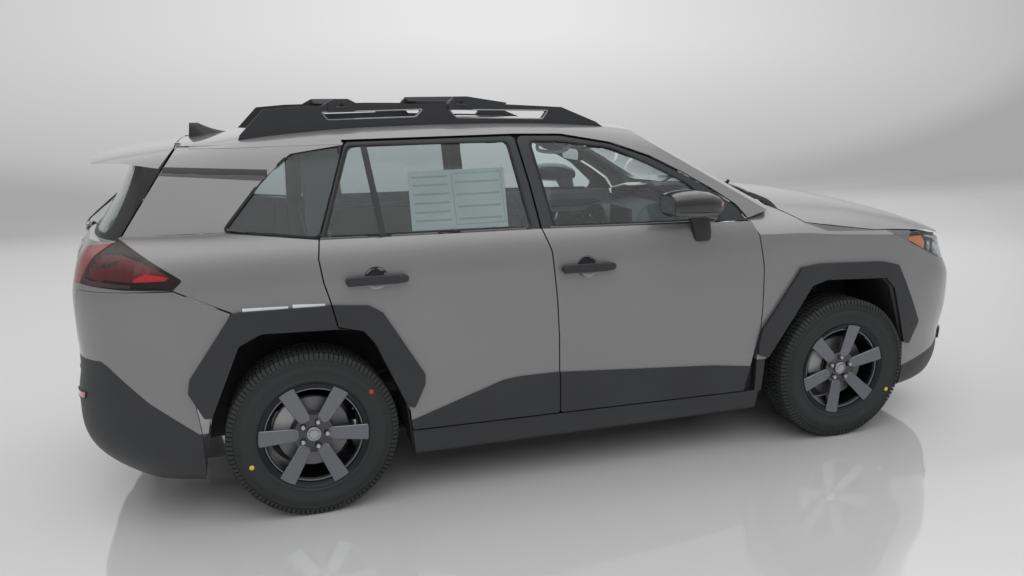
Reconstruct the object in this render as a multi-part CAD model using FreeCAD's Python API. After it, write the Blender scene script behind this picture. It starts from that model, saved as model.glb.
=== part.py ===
import FreeCAD, Part
import math
import os

os.makedirs("parts", exist_ok=True)
V = FreeCAD.Vector

# overall sizes, millimetres; +X forward, +Y left, +Z up, ground at Z = 0
wheelbase = 2690.0
axle_front = 1365.0
axle_rear = axle_front - wheelbase
tyre_radius = 369.5
tyre_width = 235.0
wheel_y = 794.5
rim_radius = 238.0
axle_z = tyre_radius
panel_gap = 6.0
frame_gap = 10.0
skin = 25.0
door_flange = 14.0
bar_top = 1790.0
bar_x = (-1095.0, -560.0)
door_depth = 110.0
frame_depth = 20.0
pillar_y = -842.0
rail_out = 26.0
rail_in = 70.0
flare_proud = 18.0
clad_proud = 8.0
steer_y = 790.0
hub_reach = 100.0
cup_radius = 62.0
cup_depth = 22.0

# side skin in plan: level, half width, front end, rear end
levels = [
    (200, 846, 2190, -2120), (245, 868, 2252, -2180), (300, 882, 2284, -2245),
    (390, 890, 2290, -2305), (480, 893, 2296, -2320), (600, 900, 2318, -2316),
    (700, 907, 2320, -2298), (800, 911, 2308, -2296), (880, 913, 2266, -2298),
    (980, 912, 2228, -2298), (1060, 909, 2202, -2288), (1130, 900, 2180, -2270),
    (1200, 872, 2150, -2240), (1262, 843, 2120, -2200)]
front_plan = [(0, 0), (10, .33), (58, .60), (150, .778), (300, .896), (520, .970)]
rear_plan = [(0, 0), (10, .33), (34, .60), (80, .775), (170, .880), (330, .955)]
mid_plan = [1500, 1000, 500, 0, -500, -1000, -1500]
plan_count = 43
level_count = 17

# bonnet and roof heights along the centre line
bonnet_line = [(780, 1264), (880, 1262), (1100, 1258), (1275, 1245), (1450, 1228), (1601, 1203),
               (1800, 1160), (1978, 1106), (2100, 1050), (2190, 990), (2260, 900), (2345, 760)]
bonnet_crown = [(0, 0), (250, 5), (500, 20), (650, 36), (750, 56), (820, 84), (870, 118),
                (905, 165), (1000, 330)]
roof_line = [(1360, 1560), (900, 1590), (350, 1630), (150, 1656), (-200, 1684), (-600, 1693),
             (-1000, 1689), (-1400, 1668), (-1700, 1632), (-2000, 1592), (-2280, 1550)]
roof_width = [(1360, -70), (900, -38), (350, -4), (150, 0), (-200, 0), (-600, 0),
              (-1000, 0), (-1400, -16), (-1700, -45), (-2000, -84), (-2280, -130)]

# door and panel outlines on the right side, (x, z)
line_bc = [(-190, 325), (-190, 440), (-196, 700), (-206, 885), (-226, 1100), (-262, 1200),
           (-289, 1392), (-330, 1614)]
front_door = line_bc + [(-112, 1608), (135, 1562), (323, 1494), (500, 1404), (640, 1322),
                        (752, 1246), (806, 1176), (841, 1106), (869, 952), (872, 760),
                        (870, 628), (832, 456), (800, 351), (800, 312)]
rear_door = [(-1100, 1612), (-1246, 1213), (-1256, 1138), (-1242, 1039), (-1221, 964),
             (-1196, 845), (-1091, 817), (-1042, 754), (-900, 422), (-894, 331)] + line_bc
belt = [(-2400, 1228), (-1250, 1213), (-262, 1201), (806, 1173), (2400, 1152)]
front_glass = [(-258, 1584), (-190, 1203), (640, 1181), (655, 1228), (499, 1362), (323, 1452),
               (133, 1538), (-116, 1578)]
rear_glass = [(-1086, 1590), (-1217, 1217), (-310, 1204), (-372, 1585)]
quarter_window = [(-1085, 1600), (-1332, 1567), (-1464, 1455), (-1628, 1266), (-1220, 1217)]
roof_edge = [(-1108, 1618), (-330, 1620), (-106, 1613), (140, 1567), (328, 1499), (480, 1421)]
flare_front_out = [(858, 500), (858, 552), (872, 628), (1077, 929), (1192, 941), (1568, 923),
                   (1662, 900), (1843, 575), (1790, 456)]
flare_front_in = [(1752, 470), (1642, 781), (1584, 838), (1226, 857), (1141, 833), (916, 478)]
flare_rear_out = [(-1765, 500), (-1819, 618), (-1809, 673), (-1622, 939), (-1571, 945),
                  (-1225, 941), (-1058, 926), (-1000, 888), (-829, 595), (-831, 546), (-880, 440)]
flare_rear_in = [(-912, 452), (-1042, 754), (-1091, 817), (-1187, 837), (-1510, 847),
                 (-1604, 802), (-1735, 500)]


def spline(points, start=None, end=None):
    curve = Part.BSplineCurve()
    if start is None:
        curve.interpolate(Points=points)
    else:
        curve.interpolate(Points=points, InitialTangent=start, FinalTangent=end)
    return curve.toShape()


def smooth(table, value, column=1):
    n = len(table)
    xs = [row[0] for row in table]
    ys = [row[column] for row in table]
    if xs[0] > xs[-1]:
        xs.reverse()
        ys.reverse()
    value = min(max(value, xs[0]), xs[-1])
    steps = [(ys[i + 1] - ys[i]) / (xs[i + 1] - xs[i]) for i in range(n - 1)]
    slopes = [steps[0]] + [0.0] * (n - 2) + [steps[-1]]
    for i in range(1, n - 1):
        if steps[i - 1] * steps[i] > 0:
            slopes[i] = 2 * steps[i - 1] * steps[i] / (steps[i - 1] + steps[i])
    for i in range(n - 1):
        if value <= xs[i + 1]:
            run = xs[i + 1] - xs[i]
            t = (value - xs[i]) / run
            return (ys[i] * (1 + 2 * t) * (1 - t) ** 2 + slopes[i] * run * t * (1 - t) ** 2
                    + ys[i + 1] * t * t * (3 - 2 * t) + slopes[i + 1] * run * t * t * (t - 1))
    return ys[-1]


def even_steps(low, high, count):
    return [low + (high - low) * i / (count - 1) for i in range(count)]


def plan_points(level, depth):
    half = smooth(levels, level, 1)
    front = smooth(levels, level, 2)
    rear = smooth(levels, level, 3)
    pts = [(front - a, -half * b) for a, b in front_plan]
    pts += [(x, -half * (1 - 0.010 * (x / 1500.0) ** 2)) for x in mid_plan]
    pts += [(rear + a, -half * b) for a, b in reversed(rear_plan)]
    curve = spline([V(x, y, level) for x, y in pts], V(0, -1, 0), V(0, 1, 0))
    pts = [(p.x, p.y) for p in curve.discretize(Number=plan_count)]
    out = []
    last = len(pts) - 1
    for i, (x, y) in enumerate(pts):
        if i == 0:
            out.append(V(x - depth, 0, level))
        elif i == last:
            out.append(V(x + depth, 0, level))
        else:
            tx = pts[i + 1][0] - pts[i - 1][0]
            ty = pts[i + 1][1] - pts[i - 1][1]
            run = math.hypot(tx, ty)
            out.append(V(x + ty / run * depth, y - tx / run * depth, level))
    return out


store = {}


def patch(rows, low_extra, high_extra):
    surf = Part.BSplineSurface()
    surf.interpolate(rows)
    knots = surf.getVKnots()
    rowknots = surf.getUKnots()
    surf.segment(rowknots[0], rowknots[-1], knots[low_extra], knots[-1 - high_extra])
    face = surf.toShape()
    face.fixTolerance(0.00001)
    return face


def edge_between(face, p, q):
    for e in face.Edges:
        a = e.Vertexes[0].Point
        b = e.Vertexes[-1].Point
        if a.distanceToPoint(p) + b.distanceToPoint(q) < 0.01:
            return e
        if a.distanceToPoint(q) + b.distanceToPoint(p) < 0.01:
            return e
    raise ValueError("edge")


def grid_solid(rows, hubs, low_extra=0, high_extra=0):
    face = patch(rows, low_extra, high_extra)
    last = len(rows[0]) - 1 - high_extra
    ends = []
    for k in (0, -1):
        ends.append([rows[k][last]] + hubs[k] + [rows[k][low_extra]])
    faces = [face]
    caps = []
    for k in (0, 1):
        line = ends[k]
        edges = [edge_between(face, line[0], line[-1])]
        edges += [Part.makeLine(a, b) for a, b in zip(line, line[1:]) if a.distanceToPoint(b) > 1e-6]
        caps.append(edges)
        faces.append(Part.Face(Part.Wire(Part.__sortEdges__(edges))))
    rails = [edge_between(face, ends[0][0], ends[1][0])]
    rails += [Part.makeLine(a, b) for a, b in zip(ends[0][1:-1], ends[1][1:-1])]
    rails.append(edge_between(face, ends[0][-1], ends[1][-1]))
    for i in range(len(rails) - 1):
        faces.append(Part.Face(Part.Wire(Part.__sortEdges__(
            [rails[i], caps[0][i + 1], rails[i + 1], caps[1][i + 1]]))))
    skin_faces = Part.makeCompound(faces)
    skin_faces.sewShape(0.001)
    body = Part.Solid(skin_faces.Shells[0])
    if body.Volume < 0:
        body.reverse()
    return body


def flip_points(points, count):
    return [V(p.x, -p.y, p.z) for p in reversed(points[1:1 + count])]


def lower_body(depth):
    key = ("lower", depth)
    if key not in store:
        rows = []
        for level in even_steps(levels[0][0], levels[-1][0], level_count):
            pts = plan_points(level, depth)
            tail = [V(p.x, -p.y, p.z) for p in reversed(pts[-3:-1])]
            rows.append(flip_points(pts, 2) + pts + tail)
        store[key] = grid_solid(rows, [[], []], 2, 2)
    return store[key]


def bonnet_tool(depth):
    key = ("bonnet", depth)
    if key not in store:
        rows = []
        crown = spline([V(0, -y, -drop) for y, drop in bonnet_crown]).discretize(Number=17)
        for x in even_steps(bonnet_line[0][0], bonnet_line[-1][0], 16):
            top = smooth(bonnet_line, x) - depth
            pts = [V(x, p.y, top + p.z) for p in crown]
            pts[0].y = 0
            rows.append(flip_points(pts, 2) + pts)
        xa = bonnet_line[0][0]
        xb = bonnet_line[-1][0]
        hubs = [[V(xa, -1000, 100), V(xa, 0, 100)], [V(xb, -1000, 100), V(xb, 0, 100)]]
        store[key] = grid_solid(rows, hubs, 2, 0)
    return store[key]


def cabin_section(x, depth):
    top = smooth(roof_line, x)
    wide = 868.0 + smooth(roof_width, x)
    low = 1120.0

    def side_y(z):
        return -(wide - 0.40 * (z - 1190.0))

    poles = [(side_y(z), z) for z in (low, 1250.0, 1390.0, top - 170)]
    corner = side_y(top - 40) + 4
    poles += [(corner, top - 34), (corner + 100, top - 12), (corner * 0.45, top - 1), (0, top)]
    curve = Part.BSplineCurve()
    flags = [4] + [1] * (len(poles) - 4) + [4]
    curve.buildFromPolesMultsKnots([V(x, y, z) for y, z in poles], flags, list(range(len(flags))),
                                   False, 3)
    pts = curve.toShape().discretize(Number=21)
    out = []
    for i, p in enumerate(pts):
        a = pts[max(i - 1, 0)]
        b = pts[min(i + 1, 20)]
        run = math.hypot(b.y - a.y, b.z - a.z)
        ny = -(b.z - a.z) / run
        nz = (b.y - a.y) / run
        if i == 20:
            ny, nz = 0.0, 1.0
        out.append(V(x, p.y - ny * depth, p.z - nz * depth))
    base = out[0]
    out[0] = V(x, base.y - (base.z - low) * 0.40, low)
    out[-1].y = 0
    return out


def cabin_tube(depth):
    key = ("tube", depth)
    if key not in store:
        rows = []
        hubs = []
        for x in even_steps(roof_line[-1][0], roof_line[0][0], 19):
            pts = cabin_section(x, depth)
            tail = [V(p.x, -p.y, p.z) for p in reversed(pts[-3:-1])]
            rows.append(pts + tail)
            hubs.append([V(x, 0, pts[0].z)])
        store[key] = grid_solid(rows, [hubs[0], hubs[-1]], 0, 2)
    return store[key]


screen_plan = [(0, 0), (14, 250), (52, 480), (112, 650), (190, 780), (320, 940)]
back_plan = [(0, 0), (8, 250), (32, 450), (80, 620), (150, 730), (300, 860), (420, 940)]
screen_line = [(1080, 1385), (1195, 1180), (1420, 752), (1640, 330), (1760, 100)]
back_line = [(1080, -2262), (1250, -2200), (1310, -2146), (1400, -2086), (1500, -2034), (1600, -1986),
             (1700, -1938), (1760, -1908)]


def end_cutter(line, plan, sign, depth, far):
    rows = []
    for z in (1060, 1195, 1310, 1420, 1530, 1640, 1760):
        x0 = smooth(line, z) - sign * depth
        pts = [V(x0 - sign * a, -b, z) for a, b in plan]
        rows.append(flip_points(pts, 2) + pts)
    hubs = []
    for z in (1060, 1760):
        hubs.append([V(far, -plan[-1][1], z), V(far, 0, z)])
    return grid_solid(rows, hubs, 2, 0)


def cabin(depth):
    key = ("cabin", depth)
    if key not in store:
        front = end_cutter(screen_line, screen_plan, 1, depth * 2.16, 2600)
        back = end_cutter(back_line, back_plan, -1, depth * 1.15, -2600)
        store[key] = cabin_tube(depth).cut([front, back])
    return store[key]


def nose(depth):
    key = ("nose", depth)
    if key not in store:
        store[key] = lower_body(depth).common(bonnet_tool(depth))
    return store[key]


def shell(maker, a, b):
    key = (maker.__name__, a, b)
    if key not in store:
        store[key] = maker(a).cut(maker(b))
    return store[key]


# flat outlines
def inset(points, dist):
    pts = [(p[0], p[1]) for p in points]
    n = len(pts)
    area = sum(pts[i][0] * pts[(i + 1) % n][1] - pts[(i + 1) % n][0] * pts[i][1] for i in range(n))
    s = 1.0 if area > 0 else -1.0
    rows = []
    for i in range(n):
        a = pts[i]
        b = pts[(i + 1) % n]
        run = math.hypot(b[0] - a[0], b[1] - a[1])
        d = dist[i] if isinstance(dist, (list, tuple)) else dist
        nx = -(b[1] - a[1]) / run * s
        ny = (b[0] - a[0]) / run * s
        rows.append((a[0] + nx * d, a[1] + ny * d, b[0] - a[0], b[1] - a[1]))
    out = []
    for i in range(n):
        x1, y1, dx1, dy1 = rows[i - 1]
        x2, y2, dx2, dy2 = rows[i]
        det = dx1 * dy2 - dy1 * dx2
        if abs(det) < 1e-6 * (math.hypot(dx1, dy1) * math.hypot(dx2, dy2)):
            out.append((x2, y2))
        else:
            k = ((x2 - x1) * dy2 - (y2 - y1) * dx2) / det
            out.append((x1 + dx1 * k, y1 + dy1 * k))
    return out


def rounded_wire(points, radius, place):
    n = len(points)
    cuts = []
    for i in range(n):
        p = points[i]
        a = points[i - 1]
        b = points[(i + 1) % n]
        la = math.hypot(a[0] - p[0], a[1] - p[1])
        lb = math.hypot(b[0] - p[0], b[1] - p[1])
        ua = ((a[0] - p[0]) / la, (a[1] - p[1]) / la)
        ub = ((b[0] - p[0]) / lb, (b[1] - p[1]) / lb)
        cosv = max(-1.0, min(1.0, ua[0] * ub[0] + ua[1] * ub[1]))
        half = math.acos(cosv) / 2
        r = p[2] if len(p) > 2 else radius
        reach = r / math.tan(half) if half > 1e-3 else 0.0
        reach = min(reach, 0.46 * la, 0.46 * lb)
        rr = reach * math.tan(half)
        if reach < 0.2 or half > 1.565:
            cuts.append((p, p, p))
            continue
        t1 = (p[0] + ua[0] * reach, p[1] + ua[1] * reach)
        t2 = (p[0] + ub[0] * reach, p[1] + ub[1] * reach)
        mx = ua[0] + ub[0]
        my = ua[1] + ub[1]
        ml = math.hypot(mx, my)
        far = rr / math.sin(half) - rr
        mid = (p[0] + mx / ml * far, p[1] + my / ml * far)
        cuts.append((t1, mid, t2))
    edges = []
    for i in range(n):
        t1, mid, t2 = cuts[i]
        if t1 != t2:
            edges.append(Part.Arc(place(t1), place(mid), place(t2)).toShape())
        start = place(t2)
        stop = place(cuts[(i + 1) % n][0])
        if start.distanceToPoint(stop) > 1e-4:
            edges.append(Part.makeLine(start, stop))
    return Part.Wire(edges)


def prism_y(points, y0, y1, radius=0.0):
    wire = rounded_wire(points, radius, lambda p: V(p[0], y0, p[1]))
    return Part.Face(wire).extrude(V(0, y1 - y0, 0))


def prism_x(points, x0, x1, radius=0.0):
    wire = rounded_wire(points, radius, lambda p: V(x0, p[0], p[1]))
    return Part.Face(wire).extrude(V(x1 - x0, 0, 0))


def prism_z(points, z0, z1, radius=0.0):
    wire = rounded_wire(points, radius, lambda p: V(p[0], p[1], z0))
    return Part.Face(wire).extrude(V(0, 0, z1 - z0))


def box(x0, x1, y0, y1, z0, z1):
    return Part.makeBox(x1 - x0, y1 - y0, z1 - z0, V(x0, y0, z0))


def side(points, radius=0.0):
    return prism_y(points, -1150, -250, radius)


def mirror(shape):
    return shape.mirror(V(0, 0, 0), V(0, 1, 0))


def join(*shapes):
    out = shapes[0]
    rest = list(shapes[1:])
    return out.fuse(rest) if rest else out


def both(shape):
    return Part.makeCompound([shape, mirror(shape)])


def whole(shape):
    return shape.fuse(mirror(shape))


def cyl_y(x, z, y0, y1, r):
    return Part.makeCylinder(r, abs(y1 - y0), V(x, min(y0, y1), z), V(0, 1, 0))


def rod(p, q, r):
    a = V(*p)
    b = V(*q)
    return Part.makeCylinder(r, a.distanceToPoint(b), a, b - a)


half_gap = panel_gap / 2
front_hole = inset(front_door, -half_gap)
rear_hole = inset(rear_door, -half_gap)
nodes = {}


def keep(name, shape):
    solids = [s for s in shape.Solids if s.Volume > 2000]
    if not solids:
        raise ValueError(name)
    out = solids[0] if len(solids) == 1 else Part.makeCompound(solids)
    nodes[name] = out
    return out


# doors: outer skin flange, thick lower body, slim upper frame
def door_panel(outline, glass, grip):
    flange_line = inset(outline, half_gap)
    top_line = inset(outline, frame_gap / 2)
    body_line = inset(outline, 46.0)
    low_cut = side(belt + [(2400, 150), (-2400, 150)])
    high_cut = side(belt + [(2400, 1800), (-2400, 1800)])
    cup = Part.makeSphere(cup_radius, V(grip[0], -908 - cup_radius + cup_depth, grip[1]))
    low = shell(lower_body, 0, door_flange).common(side(flange_line, 12)).common(low_cut)
    inner = shell(lower_body, door_flange, door_depth).common(side(body_line, 30))
    inner = inner.common(box(-2400, 2400, -1200, 0, 150, 1160))
    high = shell(cabin_tube, 4, frame_depth + 4).common(side(top_line, 24)).common(high_cut)
    high = high.cut(side(glass, 24))
    neck = prism_y(inset(outline, 46.0), -1150, -250, 20).common(
        side([(p[0], p[1] - 4) for p in belt] + [(2400, 1150), (-2400, 1150)]))
    neck = neck.common(lower_body(door_flange)).cut(lower_body(55))
    return join(low, inner, neck).cut(cup), high


front_panel, front_frame = door_panel(front_door, front_glass, (-60, 1020))
front_panel = front_panel.cut(side(inset(front_door, 120), 60).common(
    box(-2400, 2400, -1200, 0, 420, 1040)).common(lower_body(80)))
rear_panel, rear_frame = door_panel(rear_door, rear_glass, (-1022, 1040))


def door_window(glass):
    pane = shell(cabin_tube, 8, 13).common(side(glass, 24))
    return pane


bar_line = [(-1034, 1610), (-1008, 1610), (-960, 1200), (-986, 1200)]
window_bar = shell(cabin_tube, 4, 22).common(side(inset(rear_glass, 0))).common(side(bar_line))
front_pane = door_window(front_glass)
rear_pane = door_window(rear_glass).cut(side(bar_line))

door_clad_band = [(-1300, 200), (-888, 378), (-467, 518), (-388, 528), (-208, 528), (608, 468),
                  (900, 430), (900, 200)]


def door_cladding(outline):
    band = side(door_clad_band, 20).common(side(inset(outline, half_gap), 12))
    return shell(lower_body, -clad_proud, 0).common(band)


def handle(x0, x1, z):
    bar = prism_y([(x0, z - 13), (x1, z - 15), (x1, z + 13), (x0, z + 15)], -944, -926, 12)
    foot_a = box(x0 + 12, x0 + 52, -936, -896, z - 12, z + 12)
    foot_b = box(x1 - 52, x1 - 12, -936, -896, z - 12, z + 12)
    return join(bar, foot_a, foot_b).cut(lower_body(0))


def mirror_piece():
    head = prism_y([(312, 1248), (310, 1325), (400, 1352), (480, 1352), (586, 1287), (587, 1250),
                    (560, 1222), (340, 1226)], -1060, -872, 26)
    head = head.common(prism_z([(300, -1060), (470, -1060), (560, -1035), (590, -960), (590, -880),
                                (300, -880)], 1150, 1400, 24))
    stem = prism_y([(470, 1104), (577, 1098), (560, 1235), (420, 1235)], -925, -868, 8)
    stem = stem.cut(lower_body(0))
    return join(head, stem)


front_trim = join(front_frame, door_cladding(front_door), handle(-189, 70, 1020))
rear_trim = join(rear_frame, window_bar, door_cladding(rear_door), handle(-1155, -888, 1040))


# arch flares: a raised band round each opening
def flare_band(outer, inner, cut_line=None):
    ring = side(outer + inner, 14)
    return shell(lower_body, -flare_proud, 0).common(ring)


flare_f = flare_band(flare_front_out, flare_front_in)
flare_r = flare_band(flare_rear_out, flare_rear_in)
flare_r_door = flare_r.common(side(inset(rear_door, half_gap), 0))
flare_r_body = flare_r.cut(side(rear_hole, 0))
rear_trim = rear_trim.cut(flare_r_door).fuse(flare_r_door)

arch_front = [(1790, 180), (1765, 370), (1752, 490), (1642, 781), (1584, 838), (1226, 857),
              (1141, 833), (916, 478), (895, 180)]
arch_rear = [(-880, 180), (-912, 452), (-1042, 754), (-1091, 817), (-1187, 837), (-1510, 847),
             (-1604, 802), (-1735, 500), (-1790, 180)]
front_arch_cut = prism_y(arch_front, -1100, -250, 14)
rear_arch_cut = prism_y(arch_rear, -1100, -250, 14)
front_arch_room = prism_y(inset(arch_front, -6.0), -1100, -250, 14)
rear_arch_room = prism_y(inset(arch_rear, -6.0), -1100, -250, 14)

sill_line = [(-905, 180), (-905, 325), (-190, 319), (800, 306), (880, 306), (880, 180)]


# front wing
lamp_front = [(1600, 1074), (1895, 1047), (2060, 995), (2190, 925), (2190, 852), (1993, 900),
              (1784, 990)]
bonnet_cut_side = [(1016, 1215), (1120, 1145), (1236, 1103), (1585, 1081), (1640, 1078),
                   (1900, 1052), (2400, 930), (2400, 1400), (900, 1400), (900, 1290)]


def fender():
    region = [(860, 470), (860, 760), (850, 960), (822, 1106), (796, 1166), (812, 1180), (880, 1197),
              (960, 1209), (1000, 1231), (1016, 1240), (1120, 1170), (1236, 1130), (1597, 1100),
              (1597, 1076), (1784, 990), (1700, 866), (1600, 700), (1400, 470)]
    body = shell(nose, 0, skin).common(side(region, 6))
    body = body.common(box(800, 2400, -1200, -620, 150, 1400))
    body = body.cut(front_arch_cut).cut(side(front_hole, 12))
    return body.cut(side(inset(bonnet_cut_side, -half_gap), 10))


def bonnet():
    plan = [(1130, 0), (1126, -300), (1095, -560), (1040, -740), (1020, -1000), (1400, -1000),
            (2150, -1000), (2235, -560), (2262, 0)]
    cap = nose(0).cut(nose(30))
    cap = cap.common(side(inset(bonnet_cut_side, half_gap), 10).fuse(
        box(900, 2400, -420, 0, 900, 1300)))
    cap = cap.common(prism_z(plan, 900, 1400))
    face = prism_y([(900, 1400), (900, 1150), (1100, 1150), (2050, 1010), (2160, 952), (2400, 940),
                    (2400, 1400)], -1000, 0)
    cap = cap.common(face)
    return whole(cap)


nose_step = [(1755, 330), (2040, 392), (2150, 450), (2240, 560), (2400, 600)]


def front_bumper():
    region = side([(1600, 700), (1700, 866), (1784, 990), (1993, 900), (2190, 852), (2400, 850)]
                  + list(reversed(nose_step)) + [(1700, 330)], 0)
    upper = prism_y([(1990, 846), (2400, 846), (2400, 934), (2160, 946), (2060, 1000), (1990, 1000)],
                    -466, 0)
    region = region.fuse([box(1700, 2400, -300, 0, 600, 850), upper])
    piece = shell(nose, 0, skin).common(region)
    piece = piece.cut(front_arch_cut).cut(grille_hole())
    return whole(piece)


def grille_hole():
    return prism_x([(-560, 640), (-640, 720), (-600, 838), (200, 842), (200, 520), (-420, 520)],
                   1900, 2400, 16)


def lower_bumper():
    region = side(nose_step + [(2400, 180), (1755, 180)], 0)
    region = region.fuse(box(1755, 2400, -300, 0, 180, 600))
    piece = shell(nose, 0, skin).common(region).cut(front_arch_cut).cut(grille_hole())
    return whole(piece)


def grille():
    plate = shell(nose, skin, skin + 8).common(prism_x([(-640, 500), (-700, 720), (-660, 850),
                                                       (200, 856), (200, 500)], 1900, 2400, 10))
    slats = []
    for i in range(6):
        z = 560 + 52 * i
        slats.append(box(1900, 2400, -700, 0, z, z + 14))
    bars = shell(nose, 6, skin).common(grille_hole()).common(Part.makeCompound(slats))
    return whole(join(plate, bars))


def headlamp():
    body = shell(nose, 2, 90).common(side(inset(lamp_front, 0.6), 10))
    body = body.common(box(1500, 2400, -1000, -470, 800, 1100))
    return body


# rear quarter, tail and bumper
lamp_rear = [(-2400, 1252), (-2031, 1254), (-1796, 1090), (-1836, 1052), (-2027, 1060), (-2400, 1096)]
gate_side = [(-1792, 1700), (-1792, 1592), (-1859, 1497), (-2015, 1263), (-2024, 1240),
             (-2032, 1215), (-2150, 1100), (-2170, 760), (-2400, 745), (-2400, 1700)]
gate_outline = [(-560, 742), (-640, 840), (-700, 1060), (-735, 1250), (-780, 1300), (-780, 1720),
                (200, 1720), (200, 742)]
bumper_step = [(-2400, 760), (-2147, 760), (-2124, 744), (-1971, 581), (-1790, 429)]


def gate_hole(gap):
    return prism_x(inset(gate_outline, -gap), -2450, -1700, 20)


def quarter():
    region = [(-1250, 306), (-1196, 850), (-1240, 1040), (-1253, 1138), (-1240, 1212),
              (-1630, 1262), (-2100, 1262), (-2300, 1200), (-2300, 1052), (-1836, 1052),
              (-1619, 945), (-1750, 500), (-1700, 306)]
    low = shell(lower_body, 0, skin).common(side(region, 0))
    low = low.cut(side(rear_hole, 12)).cut(rear_arch_cut).cut(side(lamp_rear, 10))
    low = low.cut(side(gate_side, 0).common(gate_hole(0)))
    return low


def quarter_pillar():
    region = [(-1096, 1606), (-1246, 1196), (-1640, 1244), (-2000, 1244), (-2018, 1262),
              (-1857, 1503), (-1796, 1592), (-1790, 1602)]
    piece = shell(cabin, 0, rail_out).common(side(region, 0))
    piece = piece.cut(side(rear_hole, 24)).cut(lower_body(0)).cut(side(quarter_window, 20))
    return piece


def pillar_strip():
    line = [(-1433, 1490), (-1455, 1463), (-1700, 1484), (-1862, 1497), (-1862, 1514), (-1700, 1506)]
    return shell(cabin, -2, 0).common(side(line, 0)).cut(side([(-1859, 1503), (-1796, 1592), (-1790, 1700),
                                                            (-2400, 1700), (-2400, 1497)], 0))


def tail_lamp():
    piece = shell(lower_body, 2, 80).common(side(inset(lamp_rear, 0.6), 8))
    piece = piece.common(box(-2400, -1700, -1000, -560, 1000, 1300)).cut(gate_hole(panel_gap))
    return piece


def rear_bumper():
    region = side([(-1625, 939), (-1836, 1046), (-2027, 1050), (-2400, 1050)] + bumper_step
                  + [(-1780, 430), (-1800, 600)], 0)
    piece = shell(lower_body, 0, skin).common(region).cut(rear_arch_cut).cut(gate_hole(panel_gap))
    return both(piece)


def rear_lower_bumper():
    region = side(bumper_step + [(-1780, 429), (-1780, 180), (-2400, 180)], 0)
    region = region.fuse(box(-2400, -1900, -300, 0, 180, 736))
    piece = shell(lower_body, 0, skin).common(region).cut(rear_arch_cut).cut(gate_hole(panel_gap))
    return whole(piece)


def gate_line(gap):
    return inset([(-560, 742), (-640, 840), (-700, 1060), (-735, 1250), (-900, 1300),
                  (-900, 1720), (400, 1720), (400, 742)], gap)


back_glass = [(-655, 1262), (-575, 1538), (575, 1538), (655, 1262)]
gate_lamp = [(-395, 1118), (-440, 1186), (-600, 1212), (-800, 1250), (-800, 1068), (-520, 1080)]
plate_bay = (-270, 270, 862, 1012)


def gate_low():
    low = shell(lower_body, 0, 36).common(prism_x(gate_line(0), -2450, -1900, 20))
    return low.common(box(-2400, -1900, -1000, 0, 700, 1240))


def gate_high():
    high = shell(cabin, 0, 36).common(side([(-1802, 1700), (-1802, 1600), (-1865, 1503),
                                            (-2026, 1262), (-2040, 1222), (-2400, 1222),
                                            (-2400, 1700)], 4))
    reach = box(-2400, -1700, -1000, 0, 1262, 1800).fuse(box(-2400, -1700, -727, 0, 1222, 1262))
    high = high.common(reach)
    mid = shell(cabin, 0, 36).common(box(-2400, -1700, -250, 0, 1235, 1800)).common(
        prism_y([(-1802, 1700), (-1802, 1500), (-1850, 1235), (-2400, 1235), (-2400, 1700)], -300, 10))
    return high.fuse(mid)


def spoiler():
    region = prism_y([(-1802, 1720), (-1802, 1600), (-1862, 1524), (-2005, 1548), (-2300, 1546),
                      (-2300, 1720)], -1000, 0)
    tail = prism_z([(-1790, -1000), (-1790, 0), (-2164, 0), (-2156, -330), (-2128, -560),
                    (-2062, -676), (-2040, -1000)], 1400, 1800)
    return cabin_tube(0).common(region).common(tail).cut(cabin(36))


def back_glass_zone():
    return prism_x(back_glass, -2450, -1700, 40)


def liftgate_parts():
    low = gate_low()
    high = gate_high()
    wing = spoiler()
    rim_zone = prism_y([(-1802, 1600), (-1862, 1524), (-2005, 1548), (-2300, 1546), (-2300, 1244),
                        (-2020, 1244), (-1850, 1244)], -1000, 0)
    trim = high.common(rim_zone).cut(cabin(5)).cut(wing).cut(back_glass_zone())
    lamp = low.cut(lower_body(30)).common(prism_x(gate_lamp, -2450, -1900, 8))
    frame = high.fuse([low, wing]).cut([trim, lamp, back_glass_zone()])
    frame = frame.cut(box(-2400, -2240, plate_bay[0], 0, plate_bay[2], plate_bay[3]).cut(
        lower_body(12)))
    pane = shell(cabin, 4, 9).common(back_glass_zone())
    return whole(frame), whole(trim), whole(pane), both(lamp)


def roof():
    region = [(-1796, 1760), (-1796, 1594), (-1790, 1606)] + roof_edge
    region += [(504, 1408), (644, 1327), (757, 1252), (812, 1184), (900, 1206), (960, 1218),
               (1000, 1240), (1000, 1760)]
    piece = shell(cabin, 0, rail_out).common(prism_y(region, -1150, 0, 0))
    stop = box(-1801.4, -1780, -460, -400, 1606, 1618)
    return piece.cut(windscreen_hole()).fuse(stop)


def windscreen_hole():
    return prism_x([(-585, 1600), (-722, 1240), (722, 1240), (585, 1600)], 100, 1500, 30)


def windscreen():
    pane = shell(cabin, 4, 10).common(windscreen_hole())
    return whole(pane)



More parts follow.
